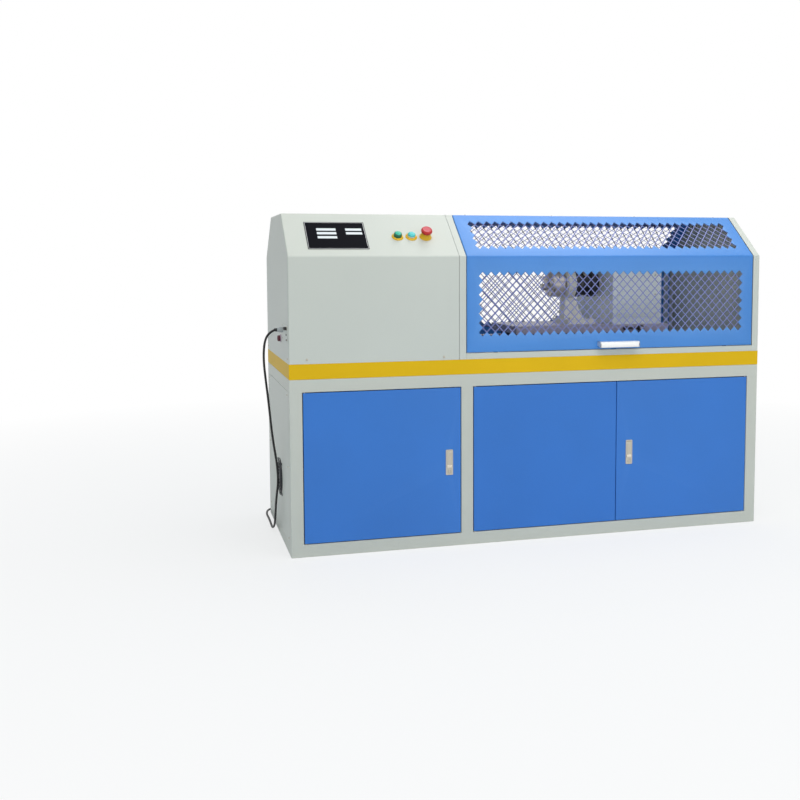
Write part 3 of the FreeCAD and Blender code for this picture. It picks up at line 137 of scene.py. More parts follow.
def surface(name, colour, rough, metallic=0.0, tint=0.05, patch=2.5, grain=450.0, relief=0.12,
            stretch=(1, 1, 1), spread=0.06, coat=0.0, specular=0.5, edge=None):
    """A procedural material: broad patches of colour, fine grain in relief and uneven gloss."""
    material = bpy.data.materials.new(name)
    material.use_nodes = True
    tree = material.node_tree
    position = add_node(tree, "TexCoord", {}, "Object")
    stretched = add_node(tree, "Mapping", {"Vector": position, "Scale": stretch}, "Vector")
    broad = add_node(tree, "TexNoise", {"Vector": position, "Scale": patch, "Detail": 3}, "Fac")
    fine = add_node(tree, "TexNoise", {"Vector": stretched, "Scale": grain, "Detail": 2}, "Fac")
    base = linear(*colour)
    darker, lighter = [[min(1, value * (1 + change)) for value in base] for change in (-tint, tint)]
    tone = ramp(tree, broad, darker, lighter)
    speckle = ramp(tree, fine, [0.5 - tint / 2] * 3, [0.5 + tint / 2] * 3)
    tone = add_node(tree, "Mix", {"Factor": 1.0, "A": tone, "B": speckle}, "Result",
                    data_type="RGBA", blend_type="OVERLAY")
    # Convex edges, found by pointiness, are lightened towards the edge colour, a lighter tint of the same
    # paint: a painted edge highlight as well as light edge wear.
    if edge:
        sharpness = add_node(tree, "NewGeometry", {}, "Pointiness")
        edge_wear_and_highlight_range = {"Value": sharpness, "From Min": 0.52, "From Max": 0.62, "To Max": 0.5}
        edge_wear_and_highlight_mix = {"Factor": add_node(tree, "MapRange", edge_wear_and_highlight_range, "Result"), "A": tone, "B": (*linear(*edge), 1)}
        tone = add_node(tree, "Mix", edge_wear_and_highlight_mix, "Result", data_type="RGBA")
    gloss = {"Value": fine, "To Min": max(0.02, rough - spread), "To Max": rough + spread}
    bump = {"Height": fine, "Strength": relief, "Distance": 0.3 * MM}
    shader = tree.nodes["Principled BSDF"]
    feed(tree, shader, {
        "Base Color": tone, "Metallic": metallic, "Specular IOR Level": specular,
        "Roughness": add_node(tree, "MapRange", gloss, "Result"),
        "Normal": add_node(tree, "Bump", bump, "Normal"),
    })
    if coat:
        feed(tree, shader, {"Coat Weight": coat, "Coat Roughness": 0.12})
    return material


def moulded(name, colour, rough, **settings):
    """A plastic with a fine grain."""
    return surface(name, colour, rough, **{"grain": 1200, "relief": 0.06, "tint": 0.05, **settings})


LENGTHWISE = (0.03, 1, 1)
# The edge colours below are lighter tints of each paint: painted edge highlight together with wear.
FINISH = {material.name.split(".")[0]: material for material in (
    surface("pale_paint", (208, 209, 199), 0.42, tint=0.03, patch=1.6, specular=0.3, edge=(214, 219, 215)),
    surface("blue_paint", (44, 116, 206), 0.36, tint=0.06, patch=2.2, coat=0.08, specular=0.3,
            edge=(96, 154, 226)),
    surface("hood_blue", (62, 134, 214), 0.33, tint=0.06, patch=2.6, coat=0.12, specular=0.35,
            edge=(120, 174, 236)),
    surface("yellow_paint", (238, 186, 0), 0.42, tint=0.04, patch=3, specular=0.04, edge=(238, 204, 70)),
    surface("grey_paint", (158, 152, 174), 0.45, tint=0.08, patch=6, edge=(190, 186, 200)),
    surface("machine_paint", (226, 222, 212), 0.45, edge=(236, 234, 228)),
    surface("box_paint", (226, 230, 227), 0.45, edge=(232, 235, 240)),
    surface("black_paint", (26, 27, 30), 0.42, tint=0.1, edge=(80, 80, 84)),
    surface("mesh_paint", (112, 120, 176), 0.36, metallic=0.2, tint=0.08, edge=(176, 182, 214)),
    surface("pale_steel", (150, 152, 156), 0.42, metallic=0.9, stretch=LENGTHWISE, spread=0.12),
    surface("ground_steel", (200, 194, 190), 0.4, metallic=0.6, tint=0.08, grain=900, stretch=LENGTHWISE,
            spread=0.12),
    surface("dark_steel", (44, 46, 50), 0.38, metallic=0.7, tint=0.12, edge=(110, 112, 116)),
    surface("galvanised", (172, 176, 178), 0.45, metallic=0.8, tint=0.12, patch=60, spread=0.14),
    surface("lock_metal", (190, 184, 172), 0.34, metallic=0.75, tint=0.08, grain=1200, stretch=(1, 1, 0.05),
            spread=0.1),
    surface("aluminium", (222, 223, 224), 0.34, metallic=0.55, grain=900, stretch=LENGTHWISE, spread=0.1),
    moulded("black_plastic", (24, 24, 26), 0.5, tint=0.12, grain=1500, relief=0.3),
    moulded("grey_plastic", (178, 182, 182), 0.48, grain=1500, relief=0.25),
    moulded("yellow_plastic", (226, 178, 10), 0.34, relief=0.08),
    moulded("green_plastic", (10, 104, 74), 0.3, tint=0.06),
    moulded("pale_plastic", (214, 226, 222), 0.32, tint=0.04),
    moulded("red_plastic", (196, 34, 30), 0.3, tint=0.06),
    # Painted highlight: the pinker red of the emergency mushroom's top.
    moulded("red_painted_highlight", (198, 60, 74), 0.3, tint=0.08),
    # Painted highlight: the lighter turquoise green of the start button's top.
    moulded("green_painted_highlight", (12, 176, 144), 0.22, relief=0.04),
    moulded("teal_lens", (70, 196, 196), 0.22, relief=0.04),
    moulded("ring_red", (92, 26, 44), 0.35, tint=0.08, relief=0.1),
    surface("ring_pink", (196, 176, 190), 0.4, tint=0.06, grain=900),
    surface("black_rubber", (17, 17, 19), 0.55, tint=0.15, grain=1800, relief=0.3),
    surface("white_print", (226, 230, 232), 0.4, tint=0.03),
    surface("plate_black", (5, 6, 14), 0.5, tint=0.08, specular=0.03, relief=0.04),
)}


# Mesh helpers


def made(name, bm, slots, body, replaces=(), crease=35):
    """A finished object from a bmesh, with its materials, its body and the nodes it stands for."""
    mesh = bpy.data.meshes.new(name)
    bm.normal_update()
    bm.to_mesh(mesh)
    bm.free()
    for slot in slots:
        mesh.materials.append(FINISH[slot])
    mesh.shade_smooth()
    mesh.set_sharp_from_angle(angle=math.radians(crease))
    piece = bpy.data.objects.new(name, mesh)
    scene.collection.objects.link(piece)
    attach(piece, body)
    if replaces:
        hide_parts(*replaces)
    return piece


def rounded(piece, width, segments=2, by_weight=False):
    """Round the edges of a piece, in millimetres, with a bevel that keeps flat faces flat."""
    bevel = piece.modifiers.new("Rounded", "BEVEL")
    bevel.width = width * MM
    bevel.segments = segments
    bevel.limit_method = "WEIGHT" if by_weight else "ANGLE"
    bevel.angle_limit = math.radians(30)
    bevel.harden_normals = True


def softened(name, width):
    """Round the edges of a carried-over node, in millimetres, without touching its mesh."""
    node = frame["nodes"][name]
    if "custom_normal" in node.data.attributes:
        node.data.attributes.remove(node.data.attributes["custom_normal"])
    node.data.shade_smooth()
    node.modifiers.new("Weld", "WELD").merge_threshold = 10 * WELD
    flat = node.modifiers.new("Flat", "DECIMATE")
    flat.decimate_type = "DISSOLVE"
    flat.angle_limit = math.radians(1)
    rounded(node, width)


def folded_skin(name, bm, inside, slot, body, replaced, fold, thickness=SHEET, weld=WELD):
    """A piece of sheet: its faces turned away from a point inside, its folds rounded, and its thickness."""
    bmesh.ops.remove_doubles(bm, verts=bm.verts[:], dist=weld)
    bmesh.ops.recalc_face_normals(bm, faces=bm.faces[:])
    bm.normal_update()
    outward = sum((face.calc_center_median() - inside).dot(face.normal) * face.calc_area()
                  for face in bm.faces)
    if outward < 0:
        bmesh.ops.reverse_faces(bm, faces=bm.faces[:])
    weight = bm.edges.layers.float.get("bevel_weight_edge") or bm.edges.layers.float.new("bevel_weight_edge")
    bm.normal_update()
    least_fold = math.radians(10)
    for edge in bm.edges:
        if len(edge.link_faces) == 2 and edge.calc_face_angle() > least_fold:
            edge[weight] = 1.0
    piece = made(name, bm, [slot], body, [replaced])
    rounded(piece, fold, 3, by_weight=True)
    solid = piece.modifiers.new("Thick", "SOLIDIFY")
    solid.thickness = thickness
    solid.offset = -1
    solid.use_even_offset = True
    piece.modifiers.new("Level", "WEIGHTED_NORMAL").keep_sharp = True


def filled(bm, loops):
    """Fill the area between one outer loop and the loops inside it."""
    edges = []
    for points in loops:
        corners = [bm.verts.new(point) for point in points]
        edges += [bm.edges.new((corner, corners[i - 1])) for i, corner in enumerate(corners)]
    bmesh.ops.triangle_fill(bm, use_beauty=True, edges=edges)


def quad(bm, *points):
    """One flat face through its corners."""
    bm.faces.new([bm.verts.new(point) for point in points])


def blocks(boxes):
    """One seamless solid from boxes given by their lowest and highest corners."""
    cuts = [sorted({round(value, 6) for box in boxes for value in (box[0][axis], box[1][axis])})
            for axis in range(3)]
    spans = [range(len(cut) - 1) for cut in cuts]
    solid = set()
    for i in spans[0]:
        for j in spans[1]:
            for k in spans[2]:
                middle = [(cuts[a][n] + cuts[a][n + 1]) / 2 for a, n in enumerate((i, j, k))]
                if any(all(low[a] < middle[a] < high[a] for a in range(3)) for low, high in boxes):
                    solid.add((i, j, k))
    bm = bmesh.new()
    for cell in solid:
        for axis in range(3):
            for step in (0, 1):
                beside = list(cell)
                beside[axis] += 2 * step - 1
                if tuple(beside) in solid:
                    continue
                across, up = [a for a in range(3) if a != axis]
                corners = []
                for first, second in ((0, 0), (1, 0), (1, 1), (0, 1)):
                    point = [0, 0, 0]
                    point[axis] = cuts[axis][cell[axis] + step]
                    point[across] = cuts[across][cell[across] + first]
                    point[up] = cuts[up][cell[up] + second]
                    corners.append(point)
                quad(bm, *corners)
    bmesh.ops.remove_doubles(bm, verts=bm.verts[:], dist=WELD)
    bmesh.ops.recalc_face_normals(bm, faces=bm.faces[:])
    bmesh.ops.dissolve_limit(bm, angle_limit=0.01, verts=bm.verts[:], edges=bm.edges[:])
    return bm


def circle(radius, centre=(0, 0), steps=32):
    """The points of a circle."""
    turns = [i * math.tau / steps for i in range(steps)]
    return [(centre[0] + radius * math.cos(t), centre[1] + radius * math.sin(t)) for t in turns]


def rectangle(wide, high, centre=(0, 0), radius=0.0, steps=4):
    """The points of a rectangle, with round corners where a radius is given."""
    corners = ((1, 1), (-1, 1), (-1, -1), (1, -1))
    if not radius:
        return [(centre[0] + u * wide / 2, centre[1] + v * high / 2) for u, v in corners]
    points = []
    for quarter, (u, v) in enumerate(corners):
        middle = (centre[0] + u * (wide / 2 - radius), centre[1] + v * (high / 2 - radius))
        for i in range(steps + 1):
            turn = (quarter + i / steps) * math.pi / 2
            points.append((middle[0] + radius * math.cos(turn), middle[1] + radius * math.sin(turn)))
    return points


def closed(bm, verts, faces, slot):
    """Join what was added since some verts and faces, turn it outwards and give it its slot."""
    bmesh.ops.remove_doubles(bm, verts=[vert for vert in bm.verts if vert not in verts], dist=WELD)
    added = [face for face in bm.faces if face not in faces]
    bmesh.ops.recalc_face_normals(bm, faces=added)
    for face in added:
        face.material_index = slot


def lathe(bm, profile, matrix, segments=40, slot=0):
    """Turn a profile of (radius, height) points about a plane's Z axis, closed at radius 0."""
    verts, faces = set(bm.verts), set(bm.faces)
    rings = []
    for radius, height in profile:
        around_axis = circle(radius, steps=segments) if radius else [(0, 0)]
        rings.append([bm.verts.new(matrix @ Vector((u, v, height))) for u, v in around_axis])
    for below, above in zip(rings, rings[1:]):
        for i in range(segments):
            corners = [below[i % len(below)], below[(i + 1) % len(below)],
                       above[(i + 1) % len(above)], above[i % len(above)]]
            distinct = list(dict.fromkeys(corners))
            if len(distinct) > 2:
                bm.faces.new(distinct)
    closed(bm, verts, faces, slot)


def plate(bm, loops, thickness, matrix, slot=0):
    """A flat plate from height 0 to its thickness, with one outline and perhaps holes in it."""
    verts, faces = set(bm.verts), set(bm.faces)
    for height in (0, thickness):
        filled(bm, [[matrix @ Vector((u, v, height)) for u, v in loop] for loop in loops])
    for loop in loops:
        for start, end in zip(loop, loop[1:] + loop[:1]):
            wall = ((*start, 0), (*end, 0), (*end, thickness), (*start, thickness))
            quad(bm, *[matrix @ Vector(corner) for corner in wall])
    closed(bm, verts, faces, slot)


def cuboid(bm, low, high, slot=0, matrix=UNIT):
    """A closed box between two corners."""
    middle = [(a + b) / 2 for a, b in zip(low, high)]
    outline = rectangle(high[0] - low[0], high[1] - low[1], middle[:2])
    plate(bm, [outline], high[2] - low[2], at(matrix, 0, 0, low[2]), slot)


def bar(bm, start, end, wide, deep, normal):
    """A straight bar of flat hexagonal section between two points."""
    along = (end - start).normalized()
    across = along.cross(normal).normalized()
    section = [(0.5, 0), (0.3, 0.5), (-0.3, 0.5), (-0.5, 0), (-0.3, -0.5), (0.3, -0.5)]
    ends = [[bm.verts.new(point + across * u * wide + normal * v * deep) for u, v in section]
            for point in (start, end)]
    for i in range(6):
        bm.faces.new((ends[0][i], ends[0][(i + 1) % 6], ends[1][(i + 1) % 6], ends[1][i]))
    bm.faces.new(reversed(ends[0]))
    bm.faces.new(ends[1])


def screw(bm, matrix, radius=4, slot=0):
    """A round screw head with a socket in it, standing on a surface."""
    profile = [(0, 0), (1, 0), (1, 0.2), (0.9, 0.5), (0.6, 0.72), (0.5, 0.7), (0.44, 0.25), (0, 0.2)]
    lathe(bm, [(r * radius, h * radius) for r, h in profile], matrix, 20, slot)


# Planes to build on: the front, the back, both ends, and the sections along the machine and its axis
UPRIGHT = Matrix.Rotation(math.pi / 2, 4, "X")
BACK = Matrix(((-1, 0, 0, 0), (0, 0, 1, REAR), (0, 1, 0, 0), (0, 0, 0, 1))) @ UNIT
SIDE = Matrix(((0, 0, -1, LEFT), (-1, 0, 0, 0), (0, 1, 0, 0), (0, 0, 0, 1))) @ UNIT
FAR_SIDE = Matrix(((0, 0, 1, RIGHT), (1, 0, 0, 0), (0, 1, 0, 0), (0, 0, 0, 1))) @ UNIT
ALONG = Matrix(((0, 0, 1, 0), (1, 0, 0, 0), (0, 1, 0, 0), (0, 0, 0, 1)))
AXLE = Matrix.Translation((0, 0, AXIS_HEIGHT)) @ Matrix.Rotation(math.pi / 2, 4, "Y") @ UNIT


def at(plane, u, v, lift=0.0):
    """A plane moved to one of its points and lifted off the surface."""
    return plane @ Matrix.Translation((u, v, lift))


def level(*point):
    """The level plane at a point."""
    return UNIT @ Matrix.Translation(point)


def frontal(y):
    """The plane that faces the front at a depth."""
    return level(0, y, 0) @ UPRIGHT


def facing(point, direction):
    """The plane at a point that looks along a direction."""
    return level(*point) @ Vector(direction).to_track_quat("Z", "Y").to_matrix().to_4x4()


def around(plane, count, first=0.0):
    """A plane turned in equal steps about its Z axis, from a first angle in degrees."""
    return [plane @ Matrix.Rotation(math.radians(first) + i * math.tau / count, 4, "Z") for i in range(count)]


def extruded(bm, outline, start, length):
    """An outline in (y, z) from a starting point, drawn out along the machine."""
    plate(bm, [outline], length, level(*start) @ ALONG)


FACE = frontal(FRONT / MM)


def box_mm(name):
    """The lowest and highest corner of a node in millimetres."""
    return [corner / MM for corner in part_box(name)]


def on_slant(along, rise, lift=0.0, side=-1):
    """The point on the slanted wall at some rise from the bend, lifted off it."""
    y = REAR - rise * math.cos(SLOPE) + lift * math.sin(SLOPE)
    z = BREAK + rise * math.sin(SLOPE) + lift * math.cos(SLOPE)
    return Vector((along, side * y, z))


def slant_plane(along, rise):
    """The plane of the front slant at one of its points."""
    return Matrix.Translation(on_slant(along, rise)) @ Matrix.Rotation(SLOPE, 4, "X") @ UNIT


# Folded covers


def folded_cover(name, start, end, wall, replaced, hole=0.0, fold=3.5):
    """A cover bent over the machine, with one end wall and perhaps a round hole in it."""
    front = [(-REAR, TABLE), (-REAR, BREAK), (-FLAT, TOP)]
    section = front + [(-y, z) for y, z in reversed(front)]
    bm = bmesh.new()
    for (y0, z0), (y1, z1) in zip(section, section[1:]):
        quad(bm, (start, y0, z0), (end, y0, z0), (end, y1, z1), (start, y1, z1))
    outline = [(wall, y, z) for y, z in section]
    if hole:
        filled(bm, [outline, [(wall, y, z) for y, z in circle(hole, (0, AXIS_HEIGHT), 48)]])
    else:
        quad(bm, *outline)
    inside = Vector(((start + end) / 2, 0, (TABLE + TOP) / 2))
    folded_skin(name, bm, inside, "pale_paint", "cabinet", replaced, fold)


def end_return():
    """The end closure's return along the rear corner of the chamber."""
    wide, behind = 26 * MM, 6 * MM
    low = Vector((END - wide, REAR - behind - SHEET, guard_low.z))
    high = Vector((END, REAR - behind, BREAK))
    bm = bmesh.new()
    cuboid(bm, low / MM, high / MM)
    made("end_return", bm, ["pale_paint"], "cabinet")


folded_cover("drive_hood_cover", LEFT, PORTAL - 0.5 * MM, LEFT, "drive_cover", fold=5)
folded_cover("portal_strip", PORTAL + 1 * MM, CHAMBER, CHAMBER, "portal_wall", hole=62 * MM, fold=2)
folded_cover("end_closure", END, RIGHT, RIGHT, "right_end_frame")
end_return()


# Perforated sheets and the bars behind their windows


def wall_point(along, rise, depth, side):
    """A point on the bent wall: the rise is counted from the bend, down below it and up the slant."""
    if rise < 0:
        return Vector((along, side * (REAR - depth), BREAK + rise))
    return on_slant(along, rise, -depth, side)


def zigzag(rows, rise, base):
    """The toothed outline of a window of full diamonds, as (along, rise) points."""
    right = []
    for i in range(COLUMNS):
        right.append((-HALF_WIDTH + (i + 0.5) * PITCH, base + WEB / 2))
        right.append((-HALF_WIDTH + (i + 1) * PITCH, base + rise / 2))
    right.pop()
    for i in range(rows):
        right.append((HALF_WIDTH - WEB / 2, base + (i + 0.5) * rise))
        right.append((HALF_WIDTH - PITCH / 2, base + (i + 1) * rise))
    right.pop()
    left = [(-along, 2 * base + rows * rise - up) for along, up in right]
    return [(MIDDLE + along, up) for along, up in right + left]


def perforated(name, side, start, end, foot, crown, body, replaced):
    """A bent blue sheet with two toothed windows and returns along its sides and foot."""
    bm = bmesh.new()
    foot -= BREAK
    for window, low, top in ((LOWER, foot, JUST_BELOW_BEND), (UPPER, 0, crown)):
        centre = ((start + end) / 2, (low + top) / 2)
        outer, inner = [rectangle(end - start - 2 * margin, top - low - 2 * margin, centre)
                        for margin in (0, WINDOW_MARGIN)]
        for i in range(4):
            ring = (outer[i - 1], outer[i], inner[i], inner[i - 1])
            quad(bm, *[wall_point(x, s, 0, side) for x, s in ring])
        filled(bm, [[wall_point(x, s, 0, side) for x, s in loop] for loop in (inner, zigzag(*window))])
    corner = FLANGE * math.tan(SLOPE / 2)
    upright = ((foot, 0), (JUST_BELOW_BEND, 0), (-corner, FLANGE), (foot, FLANGE))
    slanted = ((0, 0), (crown, 0), (crown, FLANGE), (corner * 0.9, FLANGE))
    for x in (start, end):
        for flange in (upright, slanted):
            quad(bm, *[wall_point(x, s, d, side) for s, d in flange])
    lip = ((start, 0), (end, 0), (end - FLANGE / 4, FLANGE), (start + FLANGE / 4, FLANGE))
    quad(bm, *[wall_point(x, foot, d, side) for x, d in lip])
    folded_skin(name, bm, Vector((MIDDLE, 0, AXIS_HEIGHT)), "hood_blue", body, replaced, 3, weld=10 * WELD)


def clipped(start, slope, low, high):
    """A line through (start, low), cut to the window's width and height, or nothing."""
    ends = [[start, low], [start + (high - low) / slope, high]]
    for end in ends:
        for limit in (-HALF_WIDTH, HALF_WIDTH):
            if (end[0] - limit) * limit > 0:
                end[1] += (limit - end[0]) * slope
                end[0] = limit
    inside = all(low - 10 * WELD <= up <= high + 10 * WELD for _, up in ends)
    return ends if inside and abs(ends[1][0] - ends[0][0]) > WEB else None


def grille(name, side, body, replaced):
    """Crossed bars in two layers behind the windows, and the rim that carries them."""
    bm = bmesh.new()
    for rows, rise, base in (LOWER, UPPER):
        high = base + rows * rise
        within = base + 1 * MM
        normal = (wall_point(0, within, 0, side) - wall_point(0, within, 1 * MM, side)).normalized()
        for i in range(-rows - 1, COLUMNS + rows + 1):
            along = -HALF_WIDTH + (i + 0.5) * PITCH
            for slope, layers in ((rise / PITCH, 0.5), (-rise / PITCH, 1.3)):
                ends = clipped(along, slope, base, high)
                if ends:
                    depth = SHEET + layers * GRILLE_LAYER
                    first, second = [wall_point(MIDDLE + x, s, depth, side) for x, s in ends]
                    bar(bm, first, second, WEB, GRILLE_LAYER, normal)
        rim = rectangle(2 * HALF_WIDTH + GRILLE_RIM, high - base + GRILLE_RIM, (MIDDLE, (base + high) / 2))
        places = [wall_point(x, s, SHEET + GRILLE_LAYER, side) for x, s in rim]
        for i in range(4):
            bar(bm, places[i - 1], places[i], GRILLE_RIM, 1.6 * GRILLE_LAYER, normal)
    made(name, bm, ["mesh_paint"], body, [replaced])


HOOD_END = (RUN - 1 * MM) / math.cos(SLOPE)
perforated("hood_shell", -1, hood_low.x, hood_high.x, hood_low.z, HOOD_END, "hood", "hood_sheet")
perforated("guard_shell", 1, guard_low.x, guard_high.x, guard_low.z, SLANT, "cabinet", "rear_guard")
grille("hood_grille", -1, "hood", "hood_mesh")
grille("guard_grille", 1, "cabinet", "rear_mesh")


# Cabinet frame


def frame_weldment():
    """The welded tube frame as one seamless painted piece with the bearers under the table."""
    split, bearers, inset = LEFT + 690 * MM, 5, 5 * MM
    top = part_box("table_band")[0].z
    posts = (LEFT, split, RIGHT - TUBE)
    boxes = [((-TUBE / 2, FRONT, 0), (TUBE / 2, REAR, TUBE))]
    for y in (FRONT, REAR - TUBE):
        boxes += [((x, y, 0), (x + TUBE, y + TUBE, top)) for x in posts]
        boxes += [((LEFT, y, z), (RIGHT, y + TUBE, z + TUBE)) for z in (0, top - TUBE)]
    for z in (0, top - TUBE):
        boxes += [((x, FRONT, z), (x + TUBE, REAR, z + TUBE)) for x in posts]
    for i in range(bearers):
        x = LEFT + inset + i * (RIGHT - LEFT - 2 * inset - TUBE) / (bearers - 1)
        boxes.append(((x, FRONT + inset, top), (x + TUBE, REAR - inset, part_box("table_plate")[0].z)))
    rounded(made("frame_weldment", blocks(boxes), ["pale_paint"], "cabinet", ["base_frame"]), 3, 3)


frame_weldment()


# Doors and their locks

LOCK_MIDDLE = 343.5
RIB = [(0, 0), (0, 6), (9, 16), (9, 44), (0, 54), (0, 60), (-1.2, 60), (-1.2, 53.5), (7.8, 43.5), (7.8, 16.5),
       (-1.2, 6.5), (-1.2, 0)]


def door(node, locks=()):
    """A folded door: its face with the lock's opening, its returns, and two stiffeners on the back."""
    low, high = box_mm(node)
    wide, tall, deep = high.x - low.x, high.z - low.z, 18
    middle = ((low.x + high.x) / 2, (low.z + high.z) / 2)
    face, inner = [rectangle(wide - 2 * lip, tall - 2 * lip, middle) for lip in (0, 14)]
    bm = bmesh.new()
    filled(bm, [[FACE @ Vector((u, v, 0)) for u, v in loop] for loop in [face, *locks]])
    for i in range(4):
        wall = [(*face[i - 1], 0), (*face[i], 0), (*face[i], -deep), (*face[i - 1], -deep)]
        back = [(*point, -deep) for point in (face[i - 1], face[i], inner[i], inner[i - 1])]
        for corners in (wall, back):
            quad(bm, *[FACE @ Vector(corner) for corner in corners])
    inside = FACE @ Vector((*middle, -deep / 2))
    folded_skin(f"{node}_sheet", bm, inside, "blue_paint", node, node, 1.4, 1.4 * MM)
    bm = bmesh.new()
    for share in (0.3, 0.7):
        extruded(bm, RIB, (low.x + 30, FRONT / MM + 3, low.z + tall * share - 30), wide - 60)
    made(f"{node}_sheet_stiffeners", bm, ["blue_paint"], node)


def lock_outline(side, wide, tall, radius):
    """A rectangle with round corners about the middle of a door's lock."""
    low, high = box_mm(f"{side}_lock_lever")
    return rectangle(wide, tall, ((low.x + high.x) / 2, LOCK_MIDDLE), radius)


def lock_case(side):
    """A flush lock: a bezel with the lever's pocket and the button's well, and the case behind it."""
    low, high = box_mm(f"{side}_lock_lever")
    push_low, push_high = box_mm(f"{side}_lock_button")
    middle = ((low.x + high.x) / 2, (low.z + high.z) / 2)
    push = ((push_low.x + push_high.x) / 2, (push_low.z + push_high.z) / 2)
    play = 0.4
    pocket = rectangle(high.x - low.x + 2 * play, high.z - low.z + 2 * play, middle, 1.5)
    well = circle((push_high.x - push_low.x) / 2 + play, push, 28)
    case = lock_outline(side, 26, 99, 3)
    bm = bmesh.new()
    plate(bm, [lock_outline(side, 30, 103, 4), pocket, well], 2, FACE)
    for holes, base, thickness in (([pocket, well], -5.5, 5.5), ([well], -13.5, 8), ([], -19.5, 6)):
        plate(bm, [case, *holes], thickness, at(FACE, 0, 0, base))
    lathe(bm, [(7, 2), (7, 2.5), (8, 2.5), (8.4, 2)], at(FACE, *push), 28)
    for rise in (-48.8, 48.8):
        screw(bm, at(FACE, middle[0], LOCK_MIDDLE + rise, 2), 1.8)
    rounded(made(f"{side}_lock_case", bm, ["lock_metal"], f"{side}_door"), 0.5)


def lock_paddle(side):
    """The lever of a lock: a flat paddle with a round head at its pivot and a lip at its foot."""
    node = f"{side}_lock_lever"
    low, high = box_mm(node)
    wide, deep, tall = high - low
    half = deep / 2
    head = [point for point in circle(half, (half, tall - half), 28) if point[1] > tall - half - 0.1]
    middle = ((low.x + high.x) / 2, (low.z + high.z) / 2 + 5)
    lip = [(0, 0), (0, 11), (-1.2, 10), (-2.6, 5), (-3, 0)]
    bm = bmesh.new()
    extruded(bm, [(0, 0), (deep, 0), *head], low, wide)
    plate(bm, [rectangle(16, tall - 20, middle, 2)], 0.7, at(FACE, 0, 0, FRONT / MM - low.y))
    extruded(bm, lip, (middle[0] - 10, low.y, low.z), 20)
    rounded(made(f"{node}_paddle", bm, ["lock_metal"], f"{side}_lever", [node]), 0.7)


def lock_button(side):
    """The round push button of a lock."""
    node = f"{side}_lock_button"
    low, high = box_mm(node)
    radius, foot, top = (high.x - low.x) / 2, FRONT / MM - high.y, FRONT / MM - low.y
    shape = [(0, foot), (radius, foot), (radius, top - 0.8), (radius - 0.8, top), (radius * 0.55, top),
             (0, top - 0.6)]
    bm = bmesh.new()
    lathe(bm, shape, at(FACE, (low.x + high.x) / 2, (low.z + high.z) / 2), 28)
    made(f"{node}_cap", bm, ["lock_metal"], f"{side}_push", [node])


for side in ("left", "right"):
    door(f"{side}_door", [lock_outline(side, 26.6, 99.6, 3)])
    lock_case(side)
    lock_paddle(side)
    lock_button(side)
door("middle_door")


# Controls and name plate


def control(name):
    """The plane of a control on the front slant."""
    low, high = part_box(f"{name}_button")
    return slant_plane((low.x + high.x) / 2, 120 * MM)


def turned_piece(name, slots, body, replaced, parts):
    """A piece of several turned profiles, each with its plane and slot."""
    bm = bmesh.new()
    for profile, plane, slot in parts:
        lathe(bm, profile, plane, 40, slot)
    made(name, bm, slots, body, [replaced], crease=40)


# The start cap's side takes the darker green and its top a lighter turquoise green: painted shade and a
# painted highlight on one green button.
START_CAP = [(0, -7.7), (15.7, -7.7), (16, 7), (16.2, 15), (15.2, 18), (12.6, 19.8)]
START_HIGHLIGHT_TOP = [(12.6, 19.8), (11.6, 20.6), (8, 21.4), (0, 21.8)]
STOP_CAP = [(0, -7.7), (15.7, -7.7), (15.7, 11)]
STOP_LENS = [(15.7, 11), (15.4, 14), (13.8, 16.4), (11, 17.7), (7, 18), (0, 18.2)]
MUSHROOM = [(0, -7.7), (15.7, -7.7), (15.7, 24), (17, 26.4), (21.6, 26.8), (23, 28.6), (23, 32), (21.8, 36.4),
            (19.4, 39.2), (17.4, 40.2)]
# The mushroom's flat top is painted pinker than its red sides: a painted highlight.
MUSHROOM_TOP = [(17.4, 40.2), (16.6, 40.5), (15.4, 40), (8, 40.6), (0, 40.8)]
RING = [(16.3, -12), (16.3, 5.4), (16.9, 6), (18, 6), (18.8, 5.2), (20, 4.6), (23.2, 2.4), (24, 1.2), (24, 0),
        (17, 0), (17, -12), (16.3, -12)]
SLEEVE = [(16.3, -12), (16.3, 20.4), (16.9, 21), (17.8, 21), (18.6, 20), (19.4, 12), (21.6, 6), (24.4, 2.4),
          (25, 1.2), (25, 0), (17, 0), (17, -12), (16.3, -12)]
SWITCH = [(0, -40), (17, -40), (18, -39), (18, -13), (17, -12), (0, -12)]
CONTROLS = {name: control(name) for name in ("start", "stop", "emergency")}
# The start button's lighter top and the emergency mushroom's pinker top are painted highlights.
for name, piece_name, slots, cap, top in (
    ("start", "start_cap", ["green_plastic", "green_painted_highlight"], START_CAP, START_HIGHLIGHT_TOP),
    ("stop", "stop_cap", ["pale_plastic", "teal_lens"], STOP_CAP, STOP_LENS),
    ("emergency", "emergency_mushroom", ["red_plastic", "red_painted_highlight"], MUSHROOM, MUSHROOM_TOP),
):
    parts = [(cap, CONTROLS[name], 0), (top, CONTROLS[name], 1)]
    turned_piece(piece_name, slots, f"{name}_push", f"{name}_button", parts)
parts = [(ring, plane, 0) for ring, plane in zip((RING, RING, SLEEVE), CONTROLS.values())]
parts += [(SWITCH, plane, 1) for plane in CONTROLS.values()]
turned_piece("control_rings", ["yellow_plastic", "black_plastic"], "cabinet", "button_rings", parts)


